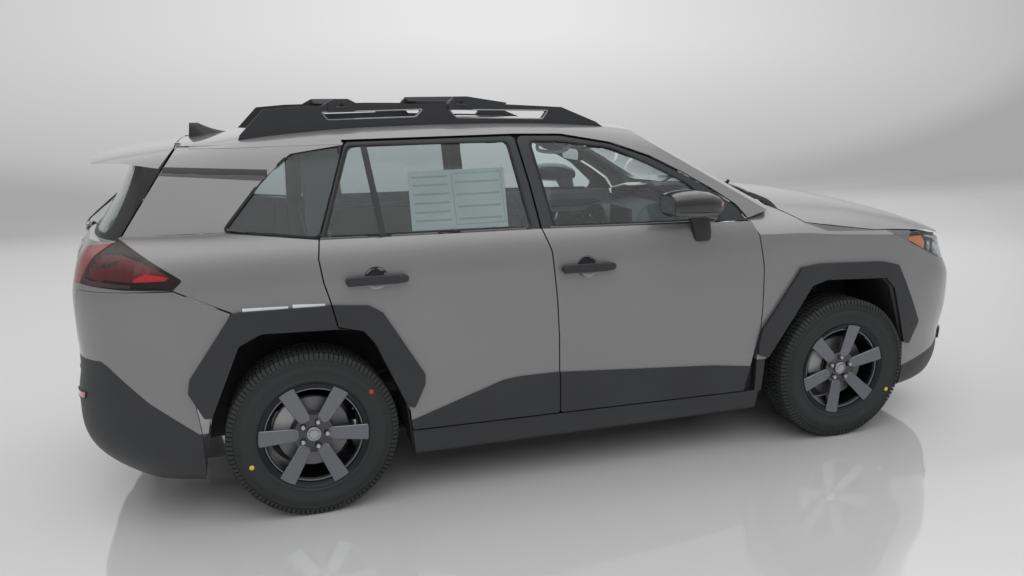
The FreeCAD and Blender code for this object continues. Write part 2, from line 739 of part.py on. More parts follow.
# body side structure: sill, pillars and rails behind the skin
def side_frame():
    low = side_slab([(-1290, 240), (955, 240), (955, 1090), (840, 1118), (800, 1138), (700, 1186),
                     (-1290, 1196)], pillar_y, pillar_y + 65)
    zone = [(-1290, 1196), (-1290, 1612)] + roof_edge + [(480, 1196)]
    high = side(zone).common(cabin_tube(rail_out + 4)).cut(cabin_tube(rail_in + 5))
    hinge = box(885, 955, -905, pillar_y, 320, 1060).common(lower_body(skin))
    tail = box(-1360, -1290, -905, pillar_y + 20, 850, 1196).common(lower_body(skin))
    body = join(low, high)
    body = body.cut([side(inset(front_door, 30), 40), side(inset(rear_door, 30), 40)])
    hinges = []
    for outline, x0, x1 in ((front_door, 815, 890), (rear_door, -250, -205)):
        for z in (560, 900):
            hinges.append(box(x0, x1, pillar_y - 10, pillar_y, z, z + 60).cut(
                side(inset(outline, 45.4), 30)))
    body = join(body, hinge, tail, *hinges).cut([rear_arch_room, front_arch_room])
    return body


def side_slab(points, y0, y1):
    return prism_y(points, y0, y1)


flap_ends = [(892, 236), (-883, 232), (-1790, 205)]


def arch_liner(outline):
    outer = inset(outline, -6.0)
    band = prism_y(outer, -920, -470, 14).cut(prism_y(outline, -920, -476, 14))
    mid = 0.5 * (min(p[0] for p in outline) + max(p[0] for p in outline))
    gap = box(mid - 220, mid + 220, -480, -460, 200, 560)
    flaps = [box(x - 60, x + 60, -886, -690, low, 264) for x, low in flap_ends]
    keep_out = box(-2400, 2400, -1000, 0, 0, 262).cut(flaps)
    return band.cut([keep_out, gap]).common(lower_body(skin))


def floor_pan():
    pan = box(-1120, 930, -777, 777, 262, 280)
    tunnel = tunnel_shape()
    wall = box(930, 948, -740, 740, 262, 1160)
    cowl = box(948, 1120, -700, 700, 1130, 1180)
    posts = [box(1050, 1090, y - 20, y + 20, 1180, 1260) for y in (-620, 620)]
    posts = Part.makeCompound([p.common(whole(bonnet_tool(30.5))) for p in posts])
    heel = box(-1138, -1120, -760, 760, 262, 560)
    load = box(-2230, -1138, -470, 470, 542, 560)
    body = join(pan, tunnel, wall, cowl, heel, load, *posts.Solids)
    rooms = [arch_space(arch_front, -6, -470), arch_space(arch_rear, -6, -470)]
    return body.cut(rooms + [mirror(r) for r in rooms])


def tunnel_shape():
    return prism_x([(-120, 280), (-95, 380), (95, 380), (120, 280)], -1120, 930)


def arch_space(outline, grow, y1):
    return prism_y(inset(outline, grow), -1100, y1, 14)


# chassis
def front_subframe():
    plate = box(1180, 1560, -420, 420, 215, 262)
    rails = [box(948, 2040, y - 40, y + 40, 330, 430) for y in (-410, 410)]
    cross = box(2040, 2100, -560, 560, 330, 520)
    mount = box(948, 1240, -420, 420, 250, 330)
    posts = [box(1190, 1270, y - 40, y + 40, 250, 340) for y in (-370, 370)]
    arms = []
    for s in (-1, 1):
        arms.append(prism_z([(1255, s * 380), (1490, s * 380), (1395, s * 690), (1395, s * 775),
                             (1335, s * 775), (1335, s * 690)], 222, 246, 12))
        arms.append(rod((axle_front, s * 612, 470), (axle_front, s * 612, 846), 24))
    return join(plate, mount, cross, *rails, *posts, *arms)


def rear_axle():
    cross = box(-1500, -1180, -420, 420, 300, 360)
    unit = Part.makeSphere(105, V(axle_rear, 0, 330))
    shafts = rod((axle_rear, -660, axle_z), (axle_rear, 660, axle_z), 16)
    arms = []
    for s in (-1, 1):
        arms.append(rod((-1420, s * 380, 300), (-1340, s * 655, 270), 22))
        arms.append(rod((-850, s * 600, 240), (-1290, s * 650, 240), 22))
        arms.append(box(-1370, -1280, s * 650 - 18, s * 650 + 18, 240, 470))
        arms.append(cyl_y(axle_rear, axle_z, s * 650, s * (wheel_y - hub_reach - 0.5), 52))
        arms.append(box(-1480, -1440, s * 400 - 20, s * 400 + 20, 360, 542))
    return join(cross, unit, shafts, *arms)


def engine():
    return box(1130, 1640, -400, 400, 430, 960)


def tank_and_exhaust():
    tank = prism_z([(-560, -560), (-560, -190), (-1060, -190), (-1060, -560)], 215, 262, 30)
    pipe = join(rod((900, 120, 234), (-1150, 120, 234), 28), Part.makeSphere(28, V(-1150, 120, 234)),
                rod((-1150, 120, 234), (-1660, 250, 262), 28))
    can = box(-2060, -1640, 120, 440, 224, 330)
    strap = box(-1900, -1870, 200, 400, 330, 542)
    return tank, join(pipe, can, strap)


# wheels
def tyre():
    w = tyre_width / 2
    prof = [(rim_radius - 14, -w + 18), (rim_radius + 20, -w + 4), (300, -w - 0.0), (335, -w + 2),
            (360, -w + 12), (tyre_radius, -w + 34), (tyre_radius, w - 34), (360, w - 12),
            (335, w - 2), (300, w), (rim_radius + 20, w - 4), (rim_radius - 14, w - 18)]
    pts = [V(r, y, 0) for r, y in prof]
    wire = Part.makePolygon(pts + [pts[0]])
    return Part.Face(wire).revolve(V(0, 0, 0), V(0, 1, 0), 360)


def rim():
    w = tyre_width / 2
    prof = [(rim_radius - 14.5, -w + 17.6), (rim_radius - 6, -w + 12.8), (rim_radius - 14, -w + 6),
            (rim_radius - 26, -w + 12), (rim_radius - 34, -w + 40), (rim_radius - 40, w - 60),
            (rim_radius - 26, w - 18.5), (rim_radius - 14.5, w - 18.5)]
    pts = [V(r, y, 0) for r, y in prof]
    barrel = Part.Face(Part.makePolygon(pts + [pts[0]])).revolve(V(0, 0, 0), V(0, 1, 0), 360)
    parts = [barrel]
    for k in range(6):
        spoke = prism_y([(-26, 60), (26, 60), (46, 130), (34, 208), (-34, 208), (-46, 130)],
                        -w + 14, -w + 44, 8)
        spoke.rotate(V(0, 0, 0), V(0, 1, 0), 60 * k)
        parts.append(spoke)
    parts.append(cyl_y(0, 0, -w + 18, -w + 60, 78))
    parts.append(cyl_y(0, 0, -w + 12, -w + 18, 32))
    parts.append(cyl_y(0, 0, -w + 60, hub_reach, 62))
    disc = cyl_y(0, 0, -w + 76, -w + 100, 160)
    return join(*parts, disc)


def wheel_at(shape, x, s):
    out = shape.copy()
    if s > 0:
        out = mirror(out)
    out.translate(V(x, s * wheel_y, axle_z))
    return out


def knuckle():
    y = -wheel_y + hub_reach + 0.5
    hub = cyl_y(axle_front, axle_z, y, y + 34, 58)
    leg = box(axle_front - 24, axle_front + 24, y, y + 26, 246.5, axle_z)
    foot = box(axle_front - 24, axle_front + 24, -775, y, 246.5, 268)
    neck = box(axle_front - 22, axle_front + 22, y, y + 26, axle_z, 469.5)
    lug = box(axle_front - 30, axle_front + 30, y, -600, 448, 469.5)
    return join(hub, leg, foot, neck, lug)


# cabin
def seat(y):
    base = prism_y([(-60, 330), (420, 350), (450, 420), (430, 470), (-40, 440), (-90, 400)],
                   y - 240, y + 240, 40)
    back = prism_y([(-110, 400), (10, 430), (-130, 1000), (-190, 1050), (-240, 1030), (-220, 900)],
                   y - 235, y + 235, 30)
    head = prism_y([(-175, 1080), (-100, 1090), (-110, 1230), (-150, 1260), (-200, 1240),
                    (-210, 1100)], y - 130, y + 130, 30)
    post = join(rod((-170, y - 50, 1000), (-160, y - 50, 1110), 7),
                rod((-170, y + 50, 1000), (-160, y + 50, 1110), 7))
    feet = join(box(-20, 380, y - 220, y - 190, 280, 350), box(-20, 380, y + 190, y + 220, 280, 350))
    return join(base, back, head, post, feet)


def rear_bench():
    base = prism_y([(-1080, 400), (-520, 420), (-490, 500), (-1040, 480)], -620, 620, 30)
    back = prism_y([(-1112, 470), (-1000, 480), (-1110, 1020), (-1190, 1080), (-1232, 1040),
                    (-1170, 700), (-1119, 562)], -620, 620, 12)
    heads = [prism_y([(-1210, 1100), (-1150, 1110), (-1160, 1210), (-1220, 1220)], y - 120,
                     y + 120, 20) for y in (-380, 0, 380)]
    posts = [rod((-1195, y + d, 1030), (-1190, y + d, 1120), 6) for y in (-380, 0, 380)
             for d in (-50, 50)]
    legs = box(-1000, -600, -580, 580, 280, 420)
    room = arch_space(arch_rear, -12, -464)
    return join(base, back, legs, *heads, *posts).cut([tunnel_shape(), room, mirror(room)])


def dashboard():
    top = prism_y([(930, 900), (930, 1130), (760, 1110), (560, 1050), (540, 980), (600, 880),
                   (700, 800), (930, 760)], -700, 700, 25)
    console = prism_y([(740, 800), (600, 890), (330, 560), (-140, 540), (-140, 380), (700, 380)],
                      -120, 120, 20)
    column = rod((700, 370, 857.6), (479.6, 370, 955.73), 26)
    return join(top, console, column)


def steering_wheel():
    ring = Part.makeTorus(182, 14)
    hub = Part.makeCylinder(55, 40, V(0, 0, -10))
    spoke = [box(-182, 182, -16, 16, -6, 8), box(-16, 16, -182, 0, -6, 8)]
    whole_wheel = join(ring, hub, *spoke)
    whole_wheel.rotate(V(0, 0, 0), V(0, 0, 1), 90)
    whole_wheel.rotate(V(0, 0, 0), V(0, 1, 0), -66)
    whole_wheel.translate(V(470, 370, 960))
    return whole_wheel


def rails():
    rail = prism_y([(-1545, 1600), (-1530, 1646), (-1428, 1751), (-1269, 1762), (-832, 1763), (-367, 1752),
                    (-73, 1732), (100, 1660), (190, 1600)], -618, -582, 16)
    win_a = prism_y([(-1177, 1732), (-1153, 1705), (-767, 1708), (-738, 1734)], -650, -550, 4)
    win_b = prism_y([(-609, 1731), (-578, 1699), (-168, 1683), (-143, 1715)], -650, -550, 4)
    feet = [prism_y([(x0, 1755), (x1, bar_top), (x2, bar_top), (x3, 1750)], -618, -582, 4)
            for x0, x1, x2, x3 in ((-1192, -1125, -1065, -988), (-617, -590, -530, -294))]
    bars = [box(x - 30, x + 30, -600, 0, bar_top - 24, bar_top) for x in bar_x]
    side_rail = rail.cut([win_a, win_b])
    half = join(side_rail, *feet, *bars).cut(cabin(0))
    return whole(half)


def antenna():
    fin = prism_y([(-1762, 1580), (-1756, 1690), (-1728, 1694), (-1590, 1640), (-1580, 1580)], -14, 14, 6)
    return fin.cut(whole(cabin(0)))


def sills():
    piece = side(sill_line).common(lower_body(0)).cut(box(-2400, 2400, pillar_y, 0, 0, 2000))
    post = shell(lower_body, 0, skin).common(side([(860, 300), (860, 467), (930, 467), (930, 300)], 0))
    return piece.fuse(post.cut(side(front_hole, 12))).cut([front_arch_room, rear_arch_room])


def roof_whole():
    half = roof()
    return whole(half)


tank_node, exhaust_node = tank_and_exhaust()
tyre_shape = tyre()
rim_shape = rim()
keep("side_frames", both(side_frame()))
keep("fenders", both(fender()))
keep("quarters", both(quarter()))
keep("pillar_trim", both(pillar_strip()))
pillar_piece = quarter_pillar()
keep("rear_pillars", both(pillar_piece))
keep("roof", roof_whole())
keep("floor_pan", floor_pan())
keep("wheel_arch_liners", Part.makeCompound(
    [m(s) for s in (arch_liner(arch_front), arch_liner(arch_rear))
     for m in (lambda q: q, mirror)]))
keep("front_bumper", front_bumper())
keep("front_lower_bumper", lower_bumper())
keep("grille", grille())
keep("headlamps", both(headlamp()))
keep("tail_lamps", both(tail_lamp()))
keep("rear_bumper", rear_bumper())
keep("rear_lower_bumper", rear_lower_bumper())
keep("arch_flares", Part.makeCompound([flare_f, flare_r_body, mirror(flare_f), mirror(flare_r_body)]))
keep("sill_cladding", both(sills()))
keep("windscreen", windscreen())
keep("quarter_glass", both(shell(cabin_tube, 8, 13).common(side(quarter_window, 20)).cut(
    side(rear_hole, 24))))
keep("roof_rails", rails())
keep("antenna", antenna())
keep("front_subframe", front_subframe())
keep("rear_axle", rear_axle())
keep("engine_block", engine())
keep("fuel_tank", tank_node)
keep("exhaust", exhaust_node)
keep("front_seats", Part.makeCompound([seat(-370), seat(370)]))
keep("rear_bench", rear_bench())
keep("dashboard", dashboard())
keep("steering_wheel", steering_wheel())
keep("knuckle_right", knuckle())
keep("knuckle_left", mirror(knuckle()))
for tag, x, s in (("front_right", axle_front, -1), ("front_left", axle_front, 1),
                  ("rear_right", axle_rear, -1), ("rear_left", axle_rear, 1)):
    keep("tyre_" + tag, wheel_at(tyre_shape, x, s))
    keep("rim_" + tag, wheel_at(rim_shape, x, s))
mirror_head = mirror_piece()
for tag, flip in (("right", lambda q: q), ("left", mirror)):
    keep("front_door_" + tag, flip(front_panel))
    keep("front_door_trim_" + tag, flip(front_trim))
    keep("front_door_glass_" + tag, flip(front_pane))
    keep("door_mirror_" + tag, flip(mirror_head))
    keep("rear_door_" + tag, flip(rear_panel))
    keep("rear_door_trim_" + tag, flip(rear_trim))
    keep("rear_door_glass_" + tag, flip(rear_pane))
keep("bonnet", bonnet())
for name, shape in zip(("liftgate", "liftgate_trim", "liftgate_glass", "liftgate_lamps"), liftgate_parts()):
    keep(name, shape)

for name, shape in nodes.items():
    shape.exportStep("parts/" + name + ".step")
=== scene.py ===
from math import copysign, cos, exp, hypot, pi, radians, sin, sqrt

import bmesh
import bpy
from mathutils import Matrix, Vector
from mathutils.bvhtree import BVHTree
from mathutils.geometry import delaunay_2d_cdt


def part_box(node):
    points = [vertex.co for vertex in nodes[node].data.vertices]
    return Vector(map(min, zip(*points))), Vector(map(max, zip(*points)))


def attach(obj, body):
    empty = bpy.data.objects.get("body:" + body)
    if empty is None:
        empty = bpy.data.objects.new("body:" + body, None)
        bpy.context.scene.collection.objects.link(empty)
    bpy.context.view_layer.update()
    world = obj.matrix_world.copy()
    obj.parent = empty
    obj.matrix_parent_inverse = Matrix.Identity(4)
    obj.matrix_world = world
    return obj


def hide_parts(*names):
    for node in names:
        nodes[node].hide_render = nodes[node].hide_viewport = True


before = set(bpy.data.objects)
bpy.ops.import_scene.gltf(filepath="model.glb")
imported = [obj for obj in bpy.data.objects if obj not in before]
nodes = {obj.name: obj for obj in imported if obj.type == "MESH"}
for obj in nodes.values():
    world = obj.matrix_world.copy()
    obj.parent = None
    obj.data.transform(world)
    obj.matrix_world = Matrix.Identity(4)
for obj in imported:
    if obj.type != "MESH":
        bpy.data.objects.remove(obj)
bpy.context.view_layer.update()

# axle centres and the wheels' middle plane, metres
front_x = 1.365
rear_x = -1.325
hub_z = 0.3695
wheel_y = 0.7945
seat_y = 0.37  # middle of a front seat and of the steering wheel
weld = 0.00002  # points nearer than this are one


# places: a shift, a turn in degrees, even angles, points given in millimetres as one run of numbers
def put(x, y, z):
    return Matrix.Translation((x, y, z))


def spin(degrees, axis):
    return Matrix.Rotation(radians(degrees), 4, axis)


def around(count):
    return [2 * pi * k / count for k in range(count)]


def rect(left, right, low, high):
    return [(left, low), (right, low), (right, high), (left, high)]


def flat(*numbers):
    return [(a / 1000, b / 1000) for a, b in zip(numbers[::2], numbers[1::2])]


def trace(*numbers):
    return [(a / 1000, b / 1000, c / 1000) for a, b, c in zip(numbers[::3], numbers[1::3], numbers[2::3])]


# camera and lights
def place_camera():
    yaw, pitch, roll = 0.2939, 0.2171, -0.02
    forward = Vector((sin(yaw) * cos(pitch), cos(yaw) * cos(pitch), -sin(pitch)))
    right = Vector((cos(yaw), -sin(yaw), 0))
    up = right.cross(forward)
    across = right * cos(roll) + up * sin(roll)
    upward = -right * sin(roll) + up * cos(roll)
    data = bpy.data.cameras.new("camera")
    data.lens = 31.06
    data.sensor_width = 36.0
    data.clip_end = 200
    cam = bpy.data.objects.new("camera", data)
    bpy.context.scene.collection.objects.link(cam)
    turn = Matrix((across, upward, -forward)).transposed().to_4x4()
    cam.matrix_world = put(-1.53748, -4.59949, 1.80029) @ turn
    bpy.context.scene.camera = cam


place_camera()
scene = bpy.context.scene
scene.view_settings.view_transform = "Standard"


def area_lamp(name, place, aim, size, power, glints=True):
    data = bpy.data.lights.new(name, "AREA")
    data.shape = "RECTANGLE"
    data.size, data.size_y = size
    data.energy = power
    lamp = bpy.data.objects.new(name, data)
    lamp.location = place
    lamp.rotation_euler = (Vector(aim) - Vector(place)).to_track_quat("-Z", "Y").to_euler()
    lamp.visible_camera = False
    lamp.visible_glossy = glints
    scene.collection.objects.link(lamp)


area_lamp("side_lamp", (-2.0, -6.4, 4.6), (0, 0, 0.8), (9.0, 3.6), 110, glints=False)
area_lamp("far_lamp", (5.5, 5.0, 3.2), (0, 0, 0.9), (3.5, 2.5), 60, glints=False)


class Tree:
    def __init__(self, name, kind="material"):
        if kind == "material":
            self.owner = bpy.data.materials.new(name)
        else:
            self.owner = bpy.data.worlds.new(name)
        self.owner.use_nodes = True
        self.nt = self.owner.node_tree
        self.nt.nodes.clear()

    def add(self, kind, props=None, **values):
        node = self.nt.nodes.new(kind)
        for key, value in (props or {}).items():
            setattr(node, key, value)
        for key, value in values.items():
            numbered = key[0] == "i" and key[1:].isdigit()
            slot = node.inputs[int(key[1:]) if numbered else key.replace("_", " ")]
            if isinstance(value, bpy.types.NodeSocket):
                self.nt.links.new(value, slot)
            else:
                slot.default_value = value
        return node

    def coords(self):
        return self.add("ShaderNodeTexCoord").outputs["Object"]

    def noise(self, scale, detail=4.0, rough=0.5):
        return self.add("ShaderNodeTexNoise", i0=self.coords(), Scale=scale, Detail=detail,
            Roughness=rough).outputs["Fac"]

    def ramp(self, fac, stops):
        node = self.add("ShaderNodeValToRGB", Fac=fac)
        ramp = node.color_ramp
        while len(ramp.elements) < len(stops):
            ramp.elements.new(0.5)
        for mark, (pos, colour) in zip(ramp.elements, stops):
            mark.position = pos
            mark.color = (*colour, 1) if len(colour) == 3 else colour
        return node.outputs["Color"]

    def spread(self, fac, low, high, a=0.0, b=1.0):
        return self.add("ShaderNodeMapRange", i0=fac, i1=a, i2=b, i3=low, i4=high).outputs[0]

    def bump(self, height, strength, distance, normal=None):
        node = self.add("ShaderNodeBump", Height=height, Strength=strength, Distance=distance)
        if normal is not None:
            self.nt.links.new(normal, node.inputs["Normal"])
        return node.outputs["Normal"]

    def finish(self, shader):
        self.add("ShaderNodeOutputMaterial", Surface=shader)
        return self.owner


def shader(tree, **values):
    return tree.add("ShaderNodeBsdfPrincipled", **values).outputs["BSDF"]


# finishes
def car_paint(name, base, deep):
    t = Tree(name)
    cloud = t.noise(1.6, 2.0)
    flakes = t.noise(5200.0, 1.0)
    colour = t.ramp(cloud, [(0.3, deep), (0.7, base)])
    mixed = t.add("ShaderNodeMix", {"data_type": "RGBA", "blend_type": "MULTIPLY"}, i0=0.35, i6=colour,
        i7=t.ramp(flakes, [(0.3, (0.72, 0.72, 0.73)), (0.72, (1.0, 1.0, 1.0))])).outputs[2]
    peel = t.bump(t.noise(160.0, 2.0), 0.035, 0.0006)
    body = shader(t, Base_Color=mixed, Metallic=0.42, Roughness=t.spread(flakes, 0.36, 0.46),
        Normal=t.bump(flakes, 0.12, 0.0002), Coat_Weight=1.0, Coat_Roughness=0.035, Coat_IOR=1.5, Coat_Normal=peel)
    return t.finish(body)


def moulded(name, base, rough, grain=900.0, depth=0.25, shine=0.5):
    t = Tree(name)
    fine = t.noise(grain, 3.0, 0.6)
    wide = t.noise(3.0, 3.0)
    shade = t.ramp(wide, [(0.3, tuple(c * 0.86 for c in base)), (0.75, tuple(min(1, c * 1.12) for c in base))])
    body = shader(t, Base_Color=shade, Roughness=t.spread(fine, rough - 0.07, rough + 0.08), Specular_IOR_Level=shine,
        Normal=t.bump(fine, depth, 0.0004))
    return t.finish(body)


def glossy(name, base, rough=0.06):
    t = Tree(name)
    smear = t.noise(22.0, 4.0)
    body = shader(t, Base_Color=t.ramp(smear, [(0.2, base), (0.9, tuple(c * 1.25 + 0.002 for c in base))]),
        Roughness=t.spread(smear, rough, rough + 0.05), Coat_Weight=1.0, Coat_Roughness=0.03)
    return t.finish(body)


def metal(name, base, rough):
    t = Tree(name)
    grain = t.noise(420.0, 5.0, 0.6)
    body = shader(t, Base_Color=t.ramp(grain, [(0.3, tuple(c * 0.85 for c in base)), (0.7, base)]), Metallic=0.85,
        Roughness=t.spread(grain, rough - 0.06, rough + 0.08), Normal=t.bump(grain, 0.08, 0.0003))
    return t.finish(body)


def pane(name, tint, shade_tint):
    t = Tree(name)
    dust = t.noise(7.0, 5.0)
    glass = shader(t, Base_Color=(*tint, 1), Roughness=t.spread(dust, 0.0, 0.012), IOR=1.45, Transmission_Weight=1.0)
    clear = t.add("ShaderNodeBsdfTransparent", Color=(*shade_tint, 1)).outputs[0]
    path = t.add("ShaderNodeLightPath")
    through = t.add("ShaderNodeMath", {"operation": "MAXIMUM"}, i0=path.outputs["Is Shadow Ray"],
        i1=path.outputs["Is Diffuse Ray"]).outputs[0]
    return t.finish(t.add("ShaderNodeMixShader", i0=through, i1=glass, i2=clear).outputs[0])


def lens(name, tint, glow=0.0):
    t = Tree(name)
    cells = t.add("ShaderNodeTexVoronoi", i0=t.coords(), Scale=130.0).outputs["Distance"]
    body = shader(t, Base_Color=t.ramp(cells, [(0.1, tuple(c * 0.7 for c in tint)), (0.8, tint)]), Roughness=0.12,
        Coat_Weight=1.0, Coat_Roughness=0.02, Normal=t.bump(cells, 0.25, 0.0012), Emission_Color=(*tint, 1),
        Emission_Strength=glow)
    return t.finish(body)


def woven(name, base, light, scale, sheen=0.3, rough=0.85):
    t = Tree(name)
    place = t.coords()
    across = t.add("ShaderNodeTexWave", {"bands_direction": "DIAGONAL"}, i0=place, Scale=scale, Distortion=0.6,
        Detail=1.0).outputs["Fac"]
    along = t.add("ShaderNodeTexWave", {"bands_direction": "Y"}, i0=place, Scale=scale * 0.9, Distortion=0.8,
        Detail=1.0).outputs["Fac"]
    weave = t.add("ShaderNodeMath", {"operation": "MULTIPLY"}, i0=across, i1=along).outputs[0]
    fuzz = t.noise(scale * 6.0, 3.0)
    shade = t.ramp(weave, [(0.05, base), (0.75, light)])
    worn = t.add("ShaderNodeMix", {"data_type": "RGBA", "blend_type": "MULTIPLY"}, i0=0.4, i6=shade,
        i7=t.ramp(t.noise(9.0, 4.0), [(0.3, (0.75, 0.75, 0.76)), (0.7, (1, 1, 1))])).outputs[2]
    body = shader(t, Base_Color=worn, Roughness=t.spread(fuzz, rough - 0.08, rough + 0.08), Sheen_Weight=sheen,
        Sheen_Roughness=0.4, Specular_IOR_Level=0.25, Normal=t.bump(fuzz, 0.3, 0.0004, t.bump(weave, 0.7, 0.0006)))
    return t.finish(body)


def hide(name, base, rough=0.48):
    t = Tree(name)
    grain = t.add("ShaderNodeTexVoronoi", {"feature": "DISTANCE_TO_EDGE"}, i0=t.coords(),
        Scale=620.0).outputs["Distance"]
    soft = t.spread(grain, 0, 1, 0.0, 0.18)
    cloud = t.noise(12.0, 4.0)
    body = shader(t, Base_Color=t.ramp(cloud, [(0.3, tuple(c * 0.82 for c in base)), (0.75, base)]),
        Roughness=t.spread(cloud, rough - 0.05, rough + 0.08), Specular_IOR_Level=0.45,
        Normal=t.bump(soft, 0.35, 0.0005))
    return t.finish(body)


def silvered(name):
    t = Tree(name)
    dust = t.noise(15.0, 4.0)
    body = shader(t, Base_Color=t.ramp(dust, [(0.3, (0.62, 0.64, 0.66)), (0.7, (0.7, 0.72, 0.74))]), Metallic=1.0,
        Roughness=t.spread(dust, 0.02, 0.05))
    return t.finish(body)


paint = car_paint("grey_paint", (0.23, 0.226, 0.228), (0.214, 0.211, 0.214))
cladding = moulded("black_cladding", (0.021, 0.022, 0.024), 0.48)
gloss_black = glossy("gloss_black", (0.012, 0.012, 0.013))
clear_glass = pane("clear_glass", (0.86, 0.93, 0.92), (0.8, 0.88, 0.87))
dark_glass = pane("dark_glass", (0.66, 0.72, 0.72), (0.52, 0.57, 0.57))
lamp_clear = lens("lamp_clear", (0.55, 0.56, 0.58))
gate_red = lens("gate_red", (0.2, 0.012, 0.018), 0.03)
satin_black = moulded("satin_black", (0.017, 0.017, 0.018), 0.4, 500.0, 0.1, 0.25)
lamp_red = lens("lamp_red", (0.42, 0.012, 0.018), 0.12)
underbody = moulded("underbody", (0.022, 0.022, 0.023), 0.7, 300.0, 0.4)
engine_metal = metal("engine_metal", (0.3, 0.3, 0.31), 0.5)
seat_cloth = woven("seat_cloth", (0.02, 0.02, 0.022), (0.062, 0.062, 0.066), 300.0)
plastic = moulded("cabin_plastic", (0.03, 0.031, 0.033), 0.6, 700.0, 0.3)
tyre_rubber = moulded("tyre_rubber", (0.026, 0.027, 0.028), 0.72, 500.0, 0.35, 0.35)
wheel_metal = metal("wheel_metal", (0.1, 0.105, 0.115), 0.38)
wheel_face = metal("wheel_face", (0.2, 0.207, 0.224), 0.34)
wheel_dark = metal("wheel_dark", (0.03, 0.031, 0.034), 0.32)
cap_grey = metal("cap_grey", (0.42, 0.43, 0.44), 0.24)
bolt_metal = metal("bolt_metal", (0.55, 0.55, 0.56), 0.22)
disc_metal = metal("disc_metal", (0.2, 0.2, 0.21), 0.4)
rusty_iron = moulded("rusty_iron", (0.06, 0.05, 0.045), 0.7, 260.0, 0.4)
caliper_grey = metal("caliper_grey", (0.42, 0.42, 0.42), 0.46)
seat_hide = hide("seat_hide", (0.034, 0.034, 0.036))
thread = woven("thread", (0.2, 0.2, 0.2), (0.34, 0.34, 0.34), 900.0)
door_fabric = woven("door_fabric", (0.022, 0.022, 0.024), (0.055, 0.055, 0.058), 260.0)
headlining = woven("headlining", (0.36, 0.35, 0.34), (0.5, 0.49, 0.47), 420.0, 0.1)
carpet = woven("carpet", (0.014, 0.014, 0.015), (0.04, 0.04, 0.042), 700.0, 0.4, 0.95)
webbing = woven("webbing", (0.015, 0.015, 0.016), (0.05, 0.05, 0.052), 800.0, 0.2)
rubber = moulded("rubber", (0.016, 0.016, 0.017), 0.62, 600.0, 0.2, 0.35)
screen_glass = glossy("screen_glass", (0.006, 0.006, 0.008), 0.04)
mirror_glass = silvered("mirror_glass")
orange_lens = lens("orange_lens", (0.72, 0.17, 0.02), 0.1)
lens_clear = pane("lens_clear", (0.93, 0.95, 0.96), (0.85, 0.87, 0.88))
lens_smoke = pane("lens_smoke", (0.52, 0.42, 0.42), (0.42, 0.32, 0.32))
red_bright = lens("red_bright", (0.8, 0.025, 0.035), 0.25)
# the rear reflectors carry a faint painted glow
reflector_red = lens("reflector_red", (0.5, 0.015, 0.02), 0.05)
plate_white = moulded("plate_white", (0.66, 0.66, 0.65), 0.45, 300.0, 0.1)
skid_grey = moulded("skid_grey", (0.2, 0.205, 0.21), 0.5, 700.0, 0.2)
paper = moulded("paper", (0.9, 0.9, 0.89), 0.8, 500.0, 0.1, 0.2)
paper_grey = moulded("paper_grey", (0.62, 0.63, 0.64), 0.8, 500.0, 0.1, 0.2)
# white for the painted highlights above the rear arches: ceiling lights reflected on the ledge, drawn as white strips
painted_highlight_white = moulded("painted_highlight_white", (0.82, 0.83, 0.84), 0.5, 400.0, 0.1)
mark_yellow = moulded("mark_yellow", (0.62, 0.48, 0.05), 0.7, 300.0, 0.2)
mark_red = moulded("mark_red", (0.45, 0.03, 0.03), 0.7, 300.0, 0.2)
spring_grey = metal("spring_grey", (0.1, 0.1, 0.11), 0.45)

node_starts = {paint: "roof rear_pillars fender quarter bonnet front_bumper rear_bumper liftgate front_door rear_door",
    cladding: "roof_rails front_lower rear_lower front_door_trim rear_door_trim arch_flares sill_cladding antenna",
    gloss_black: "grille door_mirror pillar_trim", satin_black: "liftgate_trim",
    clear_glass: "windscreen front_door_glass", dark_glass: "quarter_glass liftgate_glass rear_door_glass",
    gate_red: "liftgate_lamps", lamp_clear: "headlamps", lamp_red: "tail_lamps", seat_cloth: "front_seats rear_bench",
    underbody: "wheel_arch_liners side_frame floor_pan front_subframe rear_axle fuel_tank",
    engine_metal: "exhaust engine_block knuckle", plastic: "dashboard steering_wheel", tyre_rubber: "tyre",
    wheel_metal: "rim"}
finish_of = {start: finish for finish, starts in node_starts.items() for start in starts.split()}


def finish_for(name):
    fits = [start for start in finish_of if name.startswith(start)]
    return finish_of[max(fits, key=len)] if fits else underbody


def shape_tree(name, inputs=()):
    """A Geometry Nodes tree with its input sockets' identifiers, a node maker and a linker."""
    tree = bpy.data.node_groups.new(name, "GeometryNodeTree")
    sockets = {}
    for label, kind, *value in (("Geometry", "Geometry"), *inputs):
        item = tree.interface.new_socket(label, in_out="INPUT", socket_type="NodeSocket" + kind)
        if value:
            item.default_value = value[0]
        sockets[label] = item.identifier
    tree.interface.new_socket("Geometry", in_out="OUTPUT", socket_type="NodeSocketGeometry")

    def make(kind, **settings):
        node = tree.nodes.new(kind)
        for key, value in settings.items():
            setattr(node, key, value)
        return node

    def link(*pairs):
        for giver, out, taker, into in pairs:
            tree.links.new(giver.outputs[out], taker.inputs[into])

    return tree, sockets, make, link


